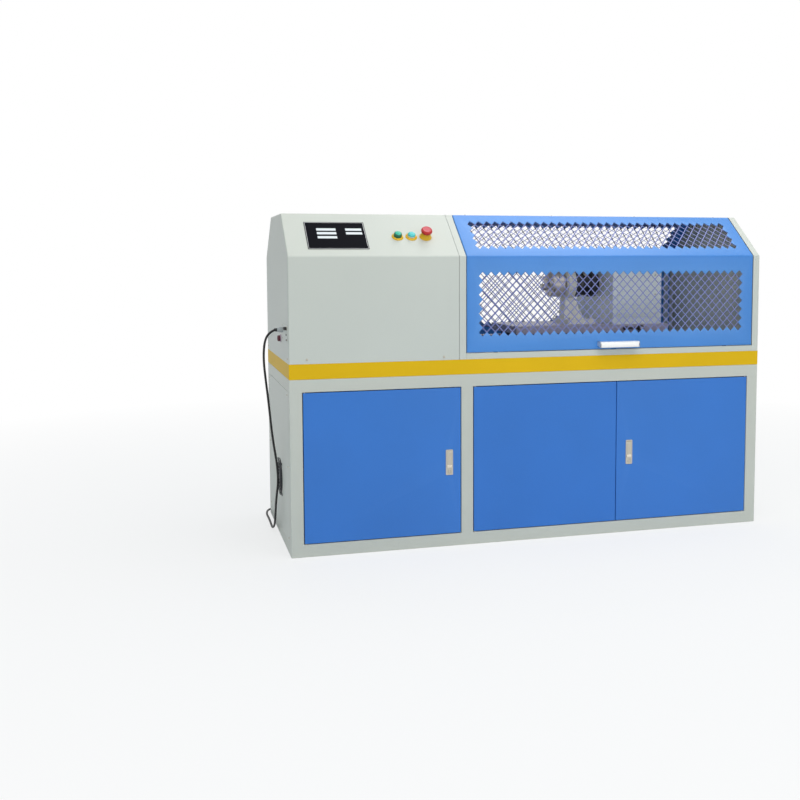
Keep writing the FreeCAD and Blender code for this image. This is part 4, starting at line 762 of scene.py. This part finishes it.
def name_plate():
    """The bare name plate: a black plate with a thin bright border and blank fields."""
    wide, high = 241, 169
    plane = slant_plane(LEFT + 205.5 * MM, 126.5 * MM)
    face = at(plane, 0, 0, 1.2)
    border = [rectangle(wide - 6, high - 6, radius=1.5), rectangle(wide - 8.4, high - 8.4, radius=1.2)]
    columns = {(0.19, 0.51): (0.28, 0.42, 0.57), (0.67, 0.94): (0.28, 0.42)}
    bm = bmesh.new()
    plate(bm, [rectangle(wide, high, radius=2)], 1.2, plane)
    plate(bm, border, 0.35, face, 1)
    for (start, end), rows in columns.items():
        for row in rows:
            middle = ((start + end - 1) / 2 * wide, (0.5 - row) * high)
            plate(bm, [rectangle((end - start) * wide, 0.085 * high, middle)], 0.3, face, 2)
    made("name_plate", bm, ["plate_black", "aluminium", "white_print"], "cabinet")


name_plate()


# Handle, screws, sockets, plugs and fan


def hood_pull():
    """The pale pull along the hood's foot, open underneath, with closed ends."""
    low, high = box_mm("hood_handle")
    start, length, cheek_width = low.x + 3, high.x - low.x - 17, 4
    crown = [(0, 25), (-24, 25), (-29, 23.5), (-31.4, 20), (-32, 16)]
    shell = [*crown, (-32, 1.2), (-30.8, 0), (-29.4, 0.6), (-29, 2), (-29, 15), (-28.4, 18.6), (-26.4, 21),
             (-23, 22), (0, 22)]
    cheek = [*crown, (-32, 1), (-26, 0), (0, 8)]
    bm = bmesh.new()
    extruded(bm, shell, (start, high.y, low.z + 3), length)
    for reach in (0, length - cheek_width):
        extruded(bm, cheek, (start + reach, high.y, low.z + 3), cheek_width)
    rounded(made("hood_pull", bm, ["aluminium"], "hood", ["hood_handle"], crease=50), 0.8)


def cover_screws():
    """The screws that hold the covers, the panels and the top sheet."""
    places = [(FACE, u, v, 4.5) for u, v in ((-950, 774), (-402, 770))]
    places += [(BACK, -x, 770, 4.5) for x in (-950, -402, -250, 340, 930)]
    for plane in (SIDE, FAR_SIDE):
        places += [(plane, u, 775, 4) for u in (-340, 340)]
        places += [(plane, u, v, 3.5) for u in (-312, 312) for v in (65, 348, 632)]
    places += [(BACK, -x - reach, v, 3.5) for x in (-620, 0, 620) for reach in (-300, 300) for v in (65, 632)]
    bm = bmesh.new()
    for plane, u, v, radius in places:
        screw(bm, at(plane, u, v), radius)
    low, high = box_mm("top_panel")
    for share in (0.05, 0.35, 0.65, 0.95):
        for y in (low.y + 14, high.y - 14):
            screw(bm, level(low.x + (high.x - low.x) * share, y, TOP / MM), 3.5)
    made("cover_screws", bm, ["lock_metal"], "cabinet")


def connector_panel():
    """The connector plate with a black port, two indicators and screws, and the round socket beside it."""
    panel, port, socket = at(SIDE, 279, 874), at(SIDE, 328, 893, 2), at(SIDE, 130, 841)
    bm = bmesh.new()
    plate(bm, [rectangle(158, 64, radius=3)], 2, panel)
    plate(bm, [rectangle(40, 16, radius=3)], 1, port, 2)
    plate(bm, [rectangle(34, 11, radius=2)], 9, port, 1)
    plate(bm, [rectangle(28, 8, radius=1.5)], 2, at(port, 0, 0, 9), 1)
    for height in (868, 848):
        lathe(bm, [(0, 0), (4.2, 0), (4.2, 1.4), (3, 2.2), (0, 2.6)], at(SIDE, 330, height, 2), 20, 1)
    for u in (-73, 73):
        for v in (-26, 26):
            screw(bm, at(panel, u, v, 2), 2.4, 2)
    lathe(bm, [(0, 0), (17, 0), (17, 1.6), (16, 2.4), (12, 2.4), (0, 2.4)], socket, 32, 3)
    lathe(bm, [(12, 2), (12, 12), (11, 13.4), (8, 13.4), (7, 12.4), (7, 4)], socket, 32, 4)
    lathe(bm, [(7, 5), (6.6, 8), (0, 8)], socket, 32, 1)
    slots = ["pale_paint", "black_plastic", "lock_metal", "ring_pink", "ring_red"]
    made("connector_panel", bm, slots, "cabinet", ["connector_plate"])


GRIP = [(0, 0), (8.6, 0), (8.6, 1.5), (11, 2), (11, 3.4), (10.2, 4), (10.2, 6), (11, 6.4), (11, 8),
        (10.2, 8.6), (10.2, 10.4), (11, 11), (11, 13), (9.6, 15), (8.8, 19), (7.4, 22), (7.2, 23)]
RELIEF = [(7.2, 23), (6.9, 23), (6.9, 25.4), (6.4, 25.4), (6.4, 27.4), (6.6, 27.4), (6.6, 29.6), (6, 29.6),
          (6, 31.4), (6.3, 31.4), (6.1, 34), (4.4, 34)]


def lead_plugs():
    """The two round plugs of the lead, each with a ribbed grip and a tapered relief."""
    bm = bmesh.new()
    for place in ((-1022, -218, 881), (-803, 479.5, 29)):
        for slot, profile in enumerate((GRIP, RELIEF)):
            lathe(bm, profile, facing(place, (-1, 0, 0)), 36, slot)
    return made("lead_plugs", bm, ["grey_plastic", "black_rubber"], "cabinet", ["cable_plugs"])


def wire_ring(bm, plane, radius, wire=1.5):
    """A ring of round wire lying flat on a plane."""
    section = circle(wire, (radius, 0), 8)
    lathe(bm, [*section, section[0]], plane, 56)


def fan_guard(centre):
    """The round wire guard over the side fan."""
    bm = bmesh.new()
    for radius, lift in ((76, 1.6), (62, 3.4), (48, 4.2), (34, 4.4), (20, 4.4)):
        wire_ring(bm, at(centre, 0, 0, lift), radius)
    lathe(bm, [(0, 3), (11, 3), (11, 4.4), (9, 5.4), (0, 5.6)], centre, 32)
    for plane in around(centre, 4, 45):
        spoke = [plane @ Vector((u, 0, h)) for u, h in ((8, 2.6), (62, 2.2), (84, 1.4))]
        for start, end in zip(spoke, spoke[1:]):
            bar(bm, start, end, 3 * MM, 2.6 * MM, Vector((-1, 0, 0)))
        wire_ring(bm, at(plane, 90, 0, 1.4), 5, 1.3)
        screw(bm, at(plane, 90, 0))
    bmesh.ops.recalc_face_normals(bm, faces=bm.faces[:])
    made("fan_wire_guard", bm, ["dark_steel"], "cabinet", ["fan_guard"])


def blade(deep):
    """Rows of points on a fan's blade, from its hub outwards."""
    hub, tip, row_count, point_count, camber_height = 28, 70, 6, 5, 2.2
    rows = []
    for j in range(row_count):
        radius, chord = hub + (tip - hub) * j / (row_count - 1), 17 + 2.4 * j
        pitch = math.radians(52 - 4.4 * j)
        row = []
        for k in range(point_count):
            share = k / (point_count - 1)
            along, camber = (share - 0.5) * chord, (1 - (2 * share - 1) ** 2) * camber_height
            turn = along * math.cos(pitch) / radius
            height = deep / 2 + along * math.sin(pitch) + camber
            row.append(Vector((radius * math.cos(turn), radius * math.sin(turn), height)))
        rows.append(row)
    return rows


def fan_rotor(axle, deep):
    """The impeller: its hub and seven twisted blades."""
    bm = bmesh.new()
    lathe(bm, [(3.2, 0), (30, 0), (30, deep - 3), (27, deep), (3.2, deep), (3.2, 0)], axle, 40)
    rows = blade(deep)
    for plane in around(axle, 7):
        for lift in (0.6, -0.6):
            grid = [[bm.verts.new(plane @ (point + Vector((0, 0, lift)))) for point in row] for row in rows]
            for inner, outer in zip(grid, grid[1:]):
                for k in range(len(inner) - 1):
                    bm.faces.new((inner[k], outer[k], outer[k + 1], inner[k + 1]))
    made("fan_rotor", bm, ["black_plastic"], "impeller", ["fan_impeller"], crease=50)


hood_pull()
cover_screws()
connector_panel()
plugs_piece = lead_plugs()
low, high = box_mm("fan_impeller")
fan_centre = at(SIDE, -(low.y + high.y) / 2, (low.z + high.z) / 2)
fan_guard(fan_centre)
fan_rotor(at(fan_centre, 0, 0, LEFT / MM - high.x), high.x - low.x)


# Chamber: saddle, stand, sensor, box, chucks and bolts

RAILS = (-110, 110)


def saddle():
    """The slotted slab on its four guide blocks, with the clamp's stud."""
    low, high = box_mm("saddle")
    half, under = high.y, high.z - 33
    slot = [(126, 0), (126, -8), (131, -8), (131, -16), (109, -16), (109, -8), (114, -8), (114, 0)]
    right = [(y, high.z + z) for y, z in slot]
    left = [(-y, z) for y, z in reversed(right)]
    outline = [(-half, under), (half, under), (half, high.z), *right, *left, (-half, high.z)]
    bm = bmesh.new()
    extruded(bm, outline, (low.x, 0, 0), high.x - low.x)
    for x in (low.x + 40, low.x + 596):
        for y in RAILS:
            for near, far, base in ((-30, -12, low.z), (12, 30, low.z), (-30, 30, low.z + 18)):
                cuboid(bm, (x, y + near, base), (x + 84, y + far, under), 1)
            for end in (x - 3, x + 84):
                for near, far, base in ((-28, -12, low.z), (12, 28, low.z), (-28, 28, low.z + 19)):
                    cuboid(bm, (end, y + near, base + 1), (end + 3, y + far, under - 2), 2)
    stud = [(0, 0), (5, 0), (6, 1), (6, -half - low.y), (0, -half - low.y)]
    lathe(bm, stud, facing((560, low.y, 853.5), (0, 1, 0)), 24, 1)
    slots = ["grey_paint", "ground_steel", "black_plastic"]
    rounded(made("saddle_slab", bm, slots, "tail_carriage", ["saddle"]), 1.2)


def tail_stand():
    """The stand: its bolted foot, its tapered web and the round head with the bearing's cover."""
    low, high = box_mm("tail_stand")
    foot = low.z + 20
    web = [(254, 870), (364, 870), (302, 987), (302, 1048), (264, 1048), (264, 1002)]
    head = [(44, 264), (66, 264), (69, 265), (70, 268), (70, 298), (69, 301), (66, 302), (44, 302), (44, 264)]
    bearing = [(30, 265), (43, 265), (43.5, 301), (30, 301), (30, 265)]
    cover = [(47, 264), (47, 261), (48, 260), (61, 260), (62, 261), (62, 264)]
    bm = bmesh.new()
    cuboid(bm, low, (high.x, high.y, foot))
    plate(bm, [web], 60, frontal(30))
    lathe(bm, head, AXLE, 56)
    lathe(bm, bearing, AXLE, 48, 1)
    lathe(bm, cover, AXLE, 56)
    for plane in around(AXLE, 6, 30):
        screw(bm, at(plane, 54.5, 0, 260) @ Matrix.Rotation(math.pi, 4, "X"), 4, 2)
    for x in (low.x + 16, high.x - 16):
        for y in (-72, 72):
            lathe(bm, [(0, 0), (12, 0), (12, 1.6), (0, 1.6)], level(x, y, foot), 28, 2)
            lathe(bm, [(0, 0), (9, 0), (9, 7), (8, 8), (0, 8)], level(x, y, foot + 1.6), 6, 2)
    slots = ["machine_paint", "ground_steel", "lock_metal"]
    rounded(made("stand_casting", bm, slots, "tail_carriage", ["tail_stand"]), 1.6, 3)


def torque_sensor():
    """The dark sensor with its flanges, bolts and signal socket, and the shafts before and after it."""
    shaft = [(0, 250), (43, 250), (45, 251.5), (45, 262.5), (43, 264), (30, 264), (30, 302)]
    body = [(30, 302), (57, 302), (60, 304), (60, 318), (58.6, 319), (58.6, 321), (60, 322), (60, 334),
            (58, 336), (54, 337), (54, 379), (58, 380), (60, 382), (60, 411), (58, 414), (30, 414)]
    ring = [(0, 0), (13, 0), (13, 7), (12, 8), (10, 8), (10, 12), (9, 13), (7.6, 13), (7.6, 9), (0, 9)]
    outward = Vector((0, -0.6, 0.8))
    bm = bmesh.new()
    lathe(bm, shaft, AXLE, 48, 1)
    lathe(bm, body, AXLE, 64, 0)
    lathe(bm, [(30, 414), (30, 437), (0, 437)], AXLE, 48, 1)
    for plane in around(AXLE, 8, 22.5):
        screw(bm, at(plane, 46, 0, 414), 5, 2)
        lathe(bm, [(0, 0), (5, 0), (5, 6), (4, 7), (0, 7)], at(plane, 46, 0, 337), 20, 2)
    lathe(bm, ring, facing(Vector((358, 0, AXIS_HEIGHT / MM)) + 50 * outward, outward), 28, 2)
    slots = ["dark_steel", "ground_steel", "lock_metal"]
    made("sensor_assembly", bm, slots, "tail_carriage", ["torque_sensor"])


def reaction_box():
    """The pale box that takes the torque, with its lid, its front plate and the junction box behind."""
    low, high = box_mm("reaction_box")
    top, corner = high.z - 10, 30
    middle = ((low.x + high.x) / 2, (low.z + top) / 2)
    outline = rectangle(high.y - low.y, top - low.z, (0, middle[1]), corner, 6)
    outline = [(y, z) for y, z in outline if z > low.z + corner + 1]
    outline += [(low.y, low.z), (high.y, low.z)]
    bm = bmesh.new()
    extruded(bm, outline, (low.x, 0, 0), high.x - low.x)
    cuboid(bm, (low.x + 12, low.y + corner + 6, top), (high.x - 12, high.y - corner - 6, high.z))
    for turn, u in ((0, middle[0]), (math.pi, -middle[0])):
        plane = at(Matrix.Rotation(turn, 4, "Z") @ frontal(-high.y), u, middle[1] - 10)
        plate(bm, [rectangle(190, 190, radius=8)], 2, plane)
        for across in (-86, 86):
            for rise in (-86, 0, 86):
                screw(bm, at(plane, across, rise, 2), 4, 1)
    cuboid(bm, (low.x, high.y, low.z + 12), (low.x + 84, high.y + 98, top - 36))
    cuboid(bm, (low.x - 2, high.y + 4, low.z + 18), (low.x, high.y + 94, top - 42))
    for rise in (28, 192):
        for reach in (12, 86):
            screw(bm, facing((low.x - 2, high.y + reach, low.z + rise), (-1, 0, 0)), 3.5, 1)
    for x in (low.x + 24, middle[0], high.x - 24):
        for y in (low.y + corner + 18, high.y - corner - 18):
            screw(bm, level(x, y, high.z), 4, 1)
    rounded(made("reaction_housing", bm, ["box_paint", "lock_metal"], "tail_carriage", ["reaction_box"]), 1.6)


def chuck_details(name, face, direction, body):
    """Screws on a chuck's face and the scroll's square sockets round it."""
    outward = Matrix.Rotation(0 if direction > 0 else math.pi, 4, "Y")
    bm = bmesh.new()
    for plane in around(AXLE, 3, 60):
        screw(bm, at(plane, -44, 0, face) @ outward, 5)
        socket = at(plane, -57, 0, face - direction * 32) @ Matrix.Rotation(-math.pi / 2, 4, "Y")
        lathe(bm, [(0, 0), (8, 0), (8, 1.3), (7, 1.7), (0, 1.7)], socket, 28)
        plate(bm, [rectangle(7, 7)], 0.3, at(socket, 0, 0, 1.6), 1)
    made(name, bm, ["ground_steel", "dark_steel"], body)


def bed_bolts():
    """The caps of the rails' bolts and the bed's own bolts."""
    low, high = box_mm("guide_rails")
    bed_top = box_mm("bed_plate")[1].z
    count = 21
    bm = bmesh.new()
    for i in range(count):
        x = low.x + 30 + (high.x - low.x - 60) * i / (count - 1)
        for y in RAILS:
            lathe(bm, [(0, 0), (5.5, 0), (5.2, 0.25), (0, 0.25)], level(x, y, high.z), 20, 1)
        if i % 4 == 2:
            for y in (-145, 145):
                screw(bm, level(x, y, bed_top), 8)
    made("bed_bolts", bm, ["lock_metal", "dark_steel"], "cabinet")


saddle()
tail_stand()
torque_sensor()
reaction_box()
chuck_details("drive_chuck_screws", box_mm("drive_chuck")[1].x, 1, "spindle")
chuck_details("tail_chuck_screws", box_mm("tail_chuck")[0].x, -1, "tail_carriage")
bed_bolts()


# Electrical compartment


def servo_drive():
    """The servo drive: a finned housing with a front panel, sockets, a window and terminals."""
    low, high = box_mm("servo_drive")
    front = low.y + 6
    panel = at(frontal(front), (low.x + high.x) / 2 + 5, low.z + 130)
    face = at(panel, 0, 0, 4)
    bm = bmesh.new()
    cuboid(bm, (low.x + 10, front, low.z), high)
    for i in range(11):
        y = front + 12 + i * 14
        cuboid(bm, (low.x, y, low.z + 8), (low.x + 10, y + 4, high.z - 8), 2)
    plate(bm, [rectangle(92, 232, radius=4)], 4, panel)
    plate(bm, [rectangle(44, 18, (-14, 92), 2)], 1, face, 1)
    for i in range(4):
        lathe(bm, [(0, 0), (3.4, 0), (3, 2), (0, 2)], at(face, -28 + i * 12, 72), 16, 2)
    for v, wide in ((40, 30), (10, 44), (-24, 54)):
        plate(bm, [rectangle(wide, 13, (-8, v), 3)], 2, face, 2)
    for i in range(9):
        cuboid(bm, (-38 + i * 8.6, -104, 0), (-31 + i * 8.6, -84, 2), 3, face)
    for i in range(12):
        x = low.x + 18 + i * 8
        cuboid(bm, (x, front + 20, high.z), (x + 3, high.y - 20, high.z + 0.6), 2)
    slots = ["black_plastic", "plate_black", "lock_metal", "green_plastic"]
    rounded(made("servo_amplifier", bm, slots, "cabinet", ["servo_drive"]), 0.8)


def breaker(bm, x, y, z):
    """One circuit breaker on the rail: stepped body, toggle and two terminals."""
    cuboid(bm, (x, y + 16, z), (x + 18, y + 60, z + 80), 1)
    cuboid(bm, (x, y, z + 18), (x + 18, y + 16, z + 62), 1)
    cuboid(bm, (x + 4, y - 7, z + 38), (x + 14, y, z + 46), 2)
    for rise in (8, 72):
        place = facing((x + 9, y + 16, z + rise), (0, -1, 0))
        lathe(bm, [(4.5, 0), (4.5, 0.4), (3.6, 0.5), (0, 0.5)], place, 16, 3)


def control_panel():
    """The mounting plate with its slotted duct, controller, rail and breakers."""
    low, high = box_mm("control_panel")
    face = high.y - 2
    bm = bmesh.new()
    cuboid(bm, (low.x, face, low.z), high)
    duct_left, duct_right, base = low.x + 20, high.x - 20, low.z + 20
    cuboid(bm, (duct_left, face - 37, base + 4), (duct_right, face, base + 36), 2)
    cuboid(bm, (duct_left, face - 40, base), (duct_right, face - 36, base + 40), 1)
    for i in range(57):
        x = duct_left + 3 + i * 10
        for rise in (0, 36):
            cuboid(bm, (x, face - 37, base + rise), (x + 6, face, base + rise + 4), 1)
    x, z = low.x + 200, low.z + 80
    cuboid(bm, (x, face - 84, z), (x + 190, face, z + 200), 1)
    cuboid(bm, (x + 6, face - 90, z + 40), (x + 184, face - 84, z + 160), 2)
    for rise in (10, 172):
        for i in range(16):
            left = x + 14 + i * 10.2
            cuboid(bm, (left, face - 89, z + rise), (left + 8, face - 84, z + rise + 16), 4)
    cuboid(bm, (x + 24, face - 90.6, z + 96), (x + 110, face - 90, z + 140), 5)
    for i in range(6):
        place = (x + 128 + i % 3 * 14, face - 90, z + 104 + i // 3 * 18)
        lathe(bm, [(0, 0), (2.6, 0), (2, 1.4), (0, 1.8)], facing(place, (0, -1, 0)), 16, 4)
    rail = z + 250
    for foot, tall, deep in ((rail, 5, 8), (rail + 30, 5, 8), (rail + 5, 25, 2)):
        cuboid(bm, (x, face - deep, foot), (x + 190, face, foot + tall), 3)
    for i in range(5):
        breaker(bm, x + 18 + 18.3 * i, face - 68, rail - 22.5)
    for i in range(9):
        left = x + 114 + i * 7.4
        cuboid(bm, (left, face - 46, rail - 6), (left + 6.6, face - 8, rail + 41), 1)
    for u in (low.x + 12, high.x - 12):
        for v in (low.z + 12, high.z - 60):
            screw(bm, facing((u, face, v), (0, -1, 0)), 5, 3)
    slots = ["galvanised", "grey_plastic", "black_plastic", "lock_metal", "green_plastic", "plate_black"]
    rounded(made("equipment_plate", bm, slots, "cabinet", ["control_panel"]), 0.5)


servo_drive()
control_panel()


# Lead and its coil

CABLE_ROUTE = [
    (-1054, -218, 881), (-1071, -217, 873), (-1089, -215, 851), (-1097, -211, 812), (-1098, -205, 755),
    (-1090, -195, 680), (-1080, -184, 600), (-1071, -168, 515), (-1059, -145, 420), (-1042, -121, 325),
    (-1036, -102, 245), (-1043, -75, 165), (-1043, -40, 90), (-1041, 15, 32), (-1043, 85, 4.5),
    (-1041, 165, 4.5), (-1040, 255, 4.5), (-1042, 345, 4.5), (-1026, 420, 4.5), (-965, 462, 4.5),
    (-890, 475, 4.5), (-820, 475, 4.5),
]
COIL_END = [
    (-879, 532, 15), (-881, 514, 19), (-875, 497, 24), (-863, 485, 28), (-850, 480, 29), (-837, 479.5, 29),
]
CABLE_RADIUS = 4.5 * MM


def coil_points():
    """The turns of the coil: outer and inner turn on the floor, then inner and outer on top."""
    low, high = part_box("cable_coil")
    centre = (low + high) / 2
    outer = (high.x - low.x) / 2 - CABLE_RADIUS
    inner = outer - 2 * CABLE_RADIUS
    on_floor, on_top = CABLE_RADIUS, 3 * CABLE_RADIUS
    turns = ((outer, on_floor), (inner, on_floor), (inner, on_top), (outer, on_top))
    steps = 16
    points = []
    for i in range(1, 4 * steps - 4):
        done = i / steps
        number = (i - 1) // steps
        before, now = turns[max(0, number - 1)], turns[number]
        share = min(1.0, (done - number) * 4)
        radius, height = [start + (end - start) * share for start, end in zip(before, now)]
        turn = done * math.tau - math.pi / 2
        points.append((centre.x + radius * math.cos(turn), centre.y + radius * math.sin(turn), height))
    return points


def lead():
    """The control lead from the side plug to its coil behind the machine."""
    curve = bpy.data.curves.new("control_lead", "CURVE")
    curve.dimensions = "3D"
    curve.bevel_depth = CABLE_RADIUS
    curve.bevel_resolution = 4
    curve.resolution_u = 8
    curve.use_fill_caps = True
    route, end = [[Vector(place) * MM for place in places] for places in (CABLE_ROUTE, COIL_END)]
    points = [*route, *coil_points(), *end]
    spline = curve.splines.new("NURBS")
    spline.points.add(len(points) - 1)
    for point, place in zip(spline.points, points):
        point.co = (*place, 1)
    spline.order_u = 3
    spline.use_endpoint_u = True
    curve.materials.append(FINISH["black_rubber"])
    piece = bpy.data.objects.new("control_lead", curve)
    scene.collection.objects.link(piece)
    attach(piece, "cabinet")
    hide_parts("control_cable", "cable_coil")
    return piece


lead_piece = lead()


# Carried-over nodes: finish and rounded edges in millimetres

for node in frame["nodes"].values():
    for place in node.material_slots:
        slot_name = place.material.name.split(".")[0]
        if slot_name in FINISH:
            place.material = FINISH[slot_name]
frame["nodes"]["bed_plate"].material_slots[0].material = FINISH["blue_paint"]
ROUNDING = {
    "table_band": 1.2, "top_panel": 1, "chamber_sills": 1.5, "cabinet_panels": 0.6, "bed_plate": 1.5,
    "guide_rails": 0.6, "drive_chuck": 1.2, "tail_chuck": 1.2, "headstock": 3, "servo_motor": 2,
    "reducer": 1.5, "shaft_coupling": 1, "spindle": 1, "drive_base": 1.5, "clamp_lever": 1.5,
    "fan_housing": 1, "catches_and_bumpers": 1.5, "table_plate": 1,
}
ROUNDING.update({f"{unit}_jaw_{i}": 0.8 for unit in ("drive", "tail") for i in (1, 2, 3)})
for node_name, width in ROUNDING.items():
    softened(node_name, width)


# Stage, light and camera


def shows_background(tree):
    """One for rays that show the background: camera, glossy and transmission rays."""
    path = tree.nodes.new("ShaderNodeLightPath").outputs
    total = path["Is Camera Ray"]
    for name in ("Is Glossy Ray", "Is Transmission Ray"):
        total = add_node(tree, "Math", {0: total, 1: path[name]}, operation="MAXIMUM")
    return total


def world():
    """A white surround that lights the object softly."""
    surround = bpy.data.worlds.new("Surround")
    scene.world = surround
    surround.use_nodes = True
    tree = surround.node_tree
    shown = shows_background(tree)
    strength = add_node(tree, "MapRange", {"Value": shown, "To Min": 0.37, "To Max": 1.0}, "Result")
    colours = {"Factor": shown, "A": (0.74, 0.91, 1.0, 1), "B": (1, 1, 1, 1)}
    colour = add_node(tree, "Mix", colours, "Result", data_type="RGBA")
    feed(tree, tree.nodes["Background"], {"Color": colour, "Strength": strength})


def floor():
    """A wide pale floor that keeps a faint shadow and fades into the white surround."""
    bm = bmesh.new()
    bmesh.ops.create_grid(bm, x_segments=1, y_segments=1, size=40)
    mesh = bpy.data.meshes.new("floor")
    bm.to_mesh(mesh)
    bm.free()
    piece = bpy.data.objects.new("floor", mesh)
    scene.collection.objects.link(piece)
    material = bpy.data.materials.new("pale_floor")
    material.use_nodes = True
    tree = material.node_tree
    shader = tree.nodes["Principled BSDF"]
    feed(tree, shader, {"Base Color": (0.82, 0.83, 0.84, 1), "Roughness": 0.7})
    position = add_node(tree, "TexCoord", {}, "Object")
    reach = add_node(tree, "VectorMath", {0: position}, "Value", operation="LENGTH")
    fading = {"Value": reach, "From Min": 1.2, "From Max": 4.5, "To Min": 0.72, "To Max": 1.0}
    fade = add_node(tree, "MapRange", fading, "Result")
    share = add_node(tree, "Math", {0: fade, 1: shows_background(tree)}, operation="MULTIPLY")
    glow = add_node(tree, "Emission", {})
    blend = add_node(tree, "MixShader", {"Fac": share, 1: shader.outputs["BSDF"], 2: glow})
    feed(tree, tree.nodes["Material Output"], {"Surface": blend})
    mesh.materials.append(material)


def softbox(name, place, target, size, watts, colour):
    """A large soft lamp aimed at a point."""
    lamp = bpy.data.lights.new(name, "AREA")
    lamp.shape = "RECTANGLE"
    lamp.size, lamp.size_y = size
    lamp.energy = watts
    lamp.color = colour
    piece = bpy.data.objects.new(name, lamp)
    piece.location = place
    aim = Vector(target) - Vector(place)
    piece.rotation_euler = aim.to_track_quat("-Z", "Y").to_euler()
    scene.collection.objects.link(piece)


def camera():
    """The photograph's viewpoint, found from the machine's straight edges."""
    lens = bpy.data.cameras.new("camera")
    lens.lens = 44.889
    lens.sensor_width = 36
    lens.shift_x = -0.0375
    lens.shift_y = -0.075
    lens.clip_end = 200
    yaw, pitch, roll = 0.26535, 0.0777, -0.00343
    look = Vector((math.sin(yaw) * math.cos(pitch), math.cos(yaw) * math.cos(pitch), -math.sin(pitch)))
    across = Vector((math.cos(yaw), -math.sin(yaw), 0))
    upright = across.cross(look)
    right = across * math.cos(roll) + upright * math.sin(roll)
    up = upright * math.cos(roll) - across * math.sin(roll)
    turn = Matrix((right, up, -look)).transposed().to_4x4()
    piece = bpy.data.objects.new("camera", lens)
    piece.matrix_world = Matrix.Translation((-1.49377, -4.17931, 1.14544)) @ turn
    scene.collection.objects.link(piece)
    scene.camera = piece


world()
floor()
softbox("overhead", (-0.3, -2.2, 4.2), (0, -0.1, 0.9), (4.5, 2.6), 78, (1.0, 0.995, 0.98))
softbox("above", (1.1, 0.5, 4.4), (0.1, -0.1, 1.2), (4.6, 1.8), 60, (1.0, 0.99, 0.98))
softbox("front_left", (-1.8, -5.2, 1.8), (-0.7, 0, 0.7), (2.4, 2.4), 21, (0.98, 0.99, 0.97))
softbox("front_right", (2.2, -5.0, 1.8), (0.6, 0, 0.6), (2.8, 2.4), 27, (1.0, 0.965, 0.9))
softbox("behind", (0.4, 5.2, 2.4), (0, 0.3, 0.7), (3.6, 1.6), 26, (1.0, 0.985, 0.96))
softbox("right_hand", (5.0, 0.6, 2.0), (1.0, 0, 0.7), (2.0, 1.6), 14, (1.0, 0.985, 0.96))
camera()
scene.view_settings.view_transform = "Standard"
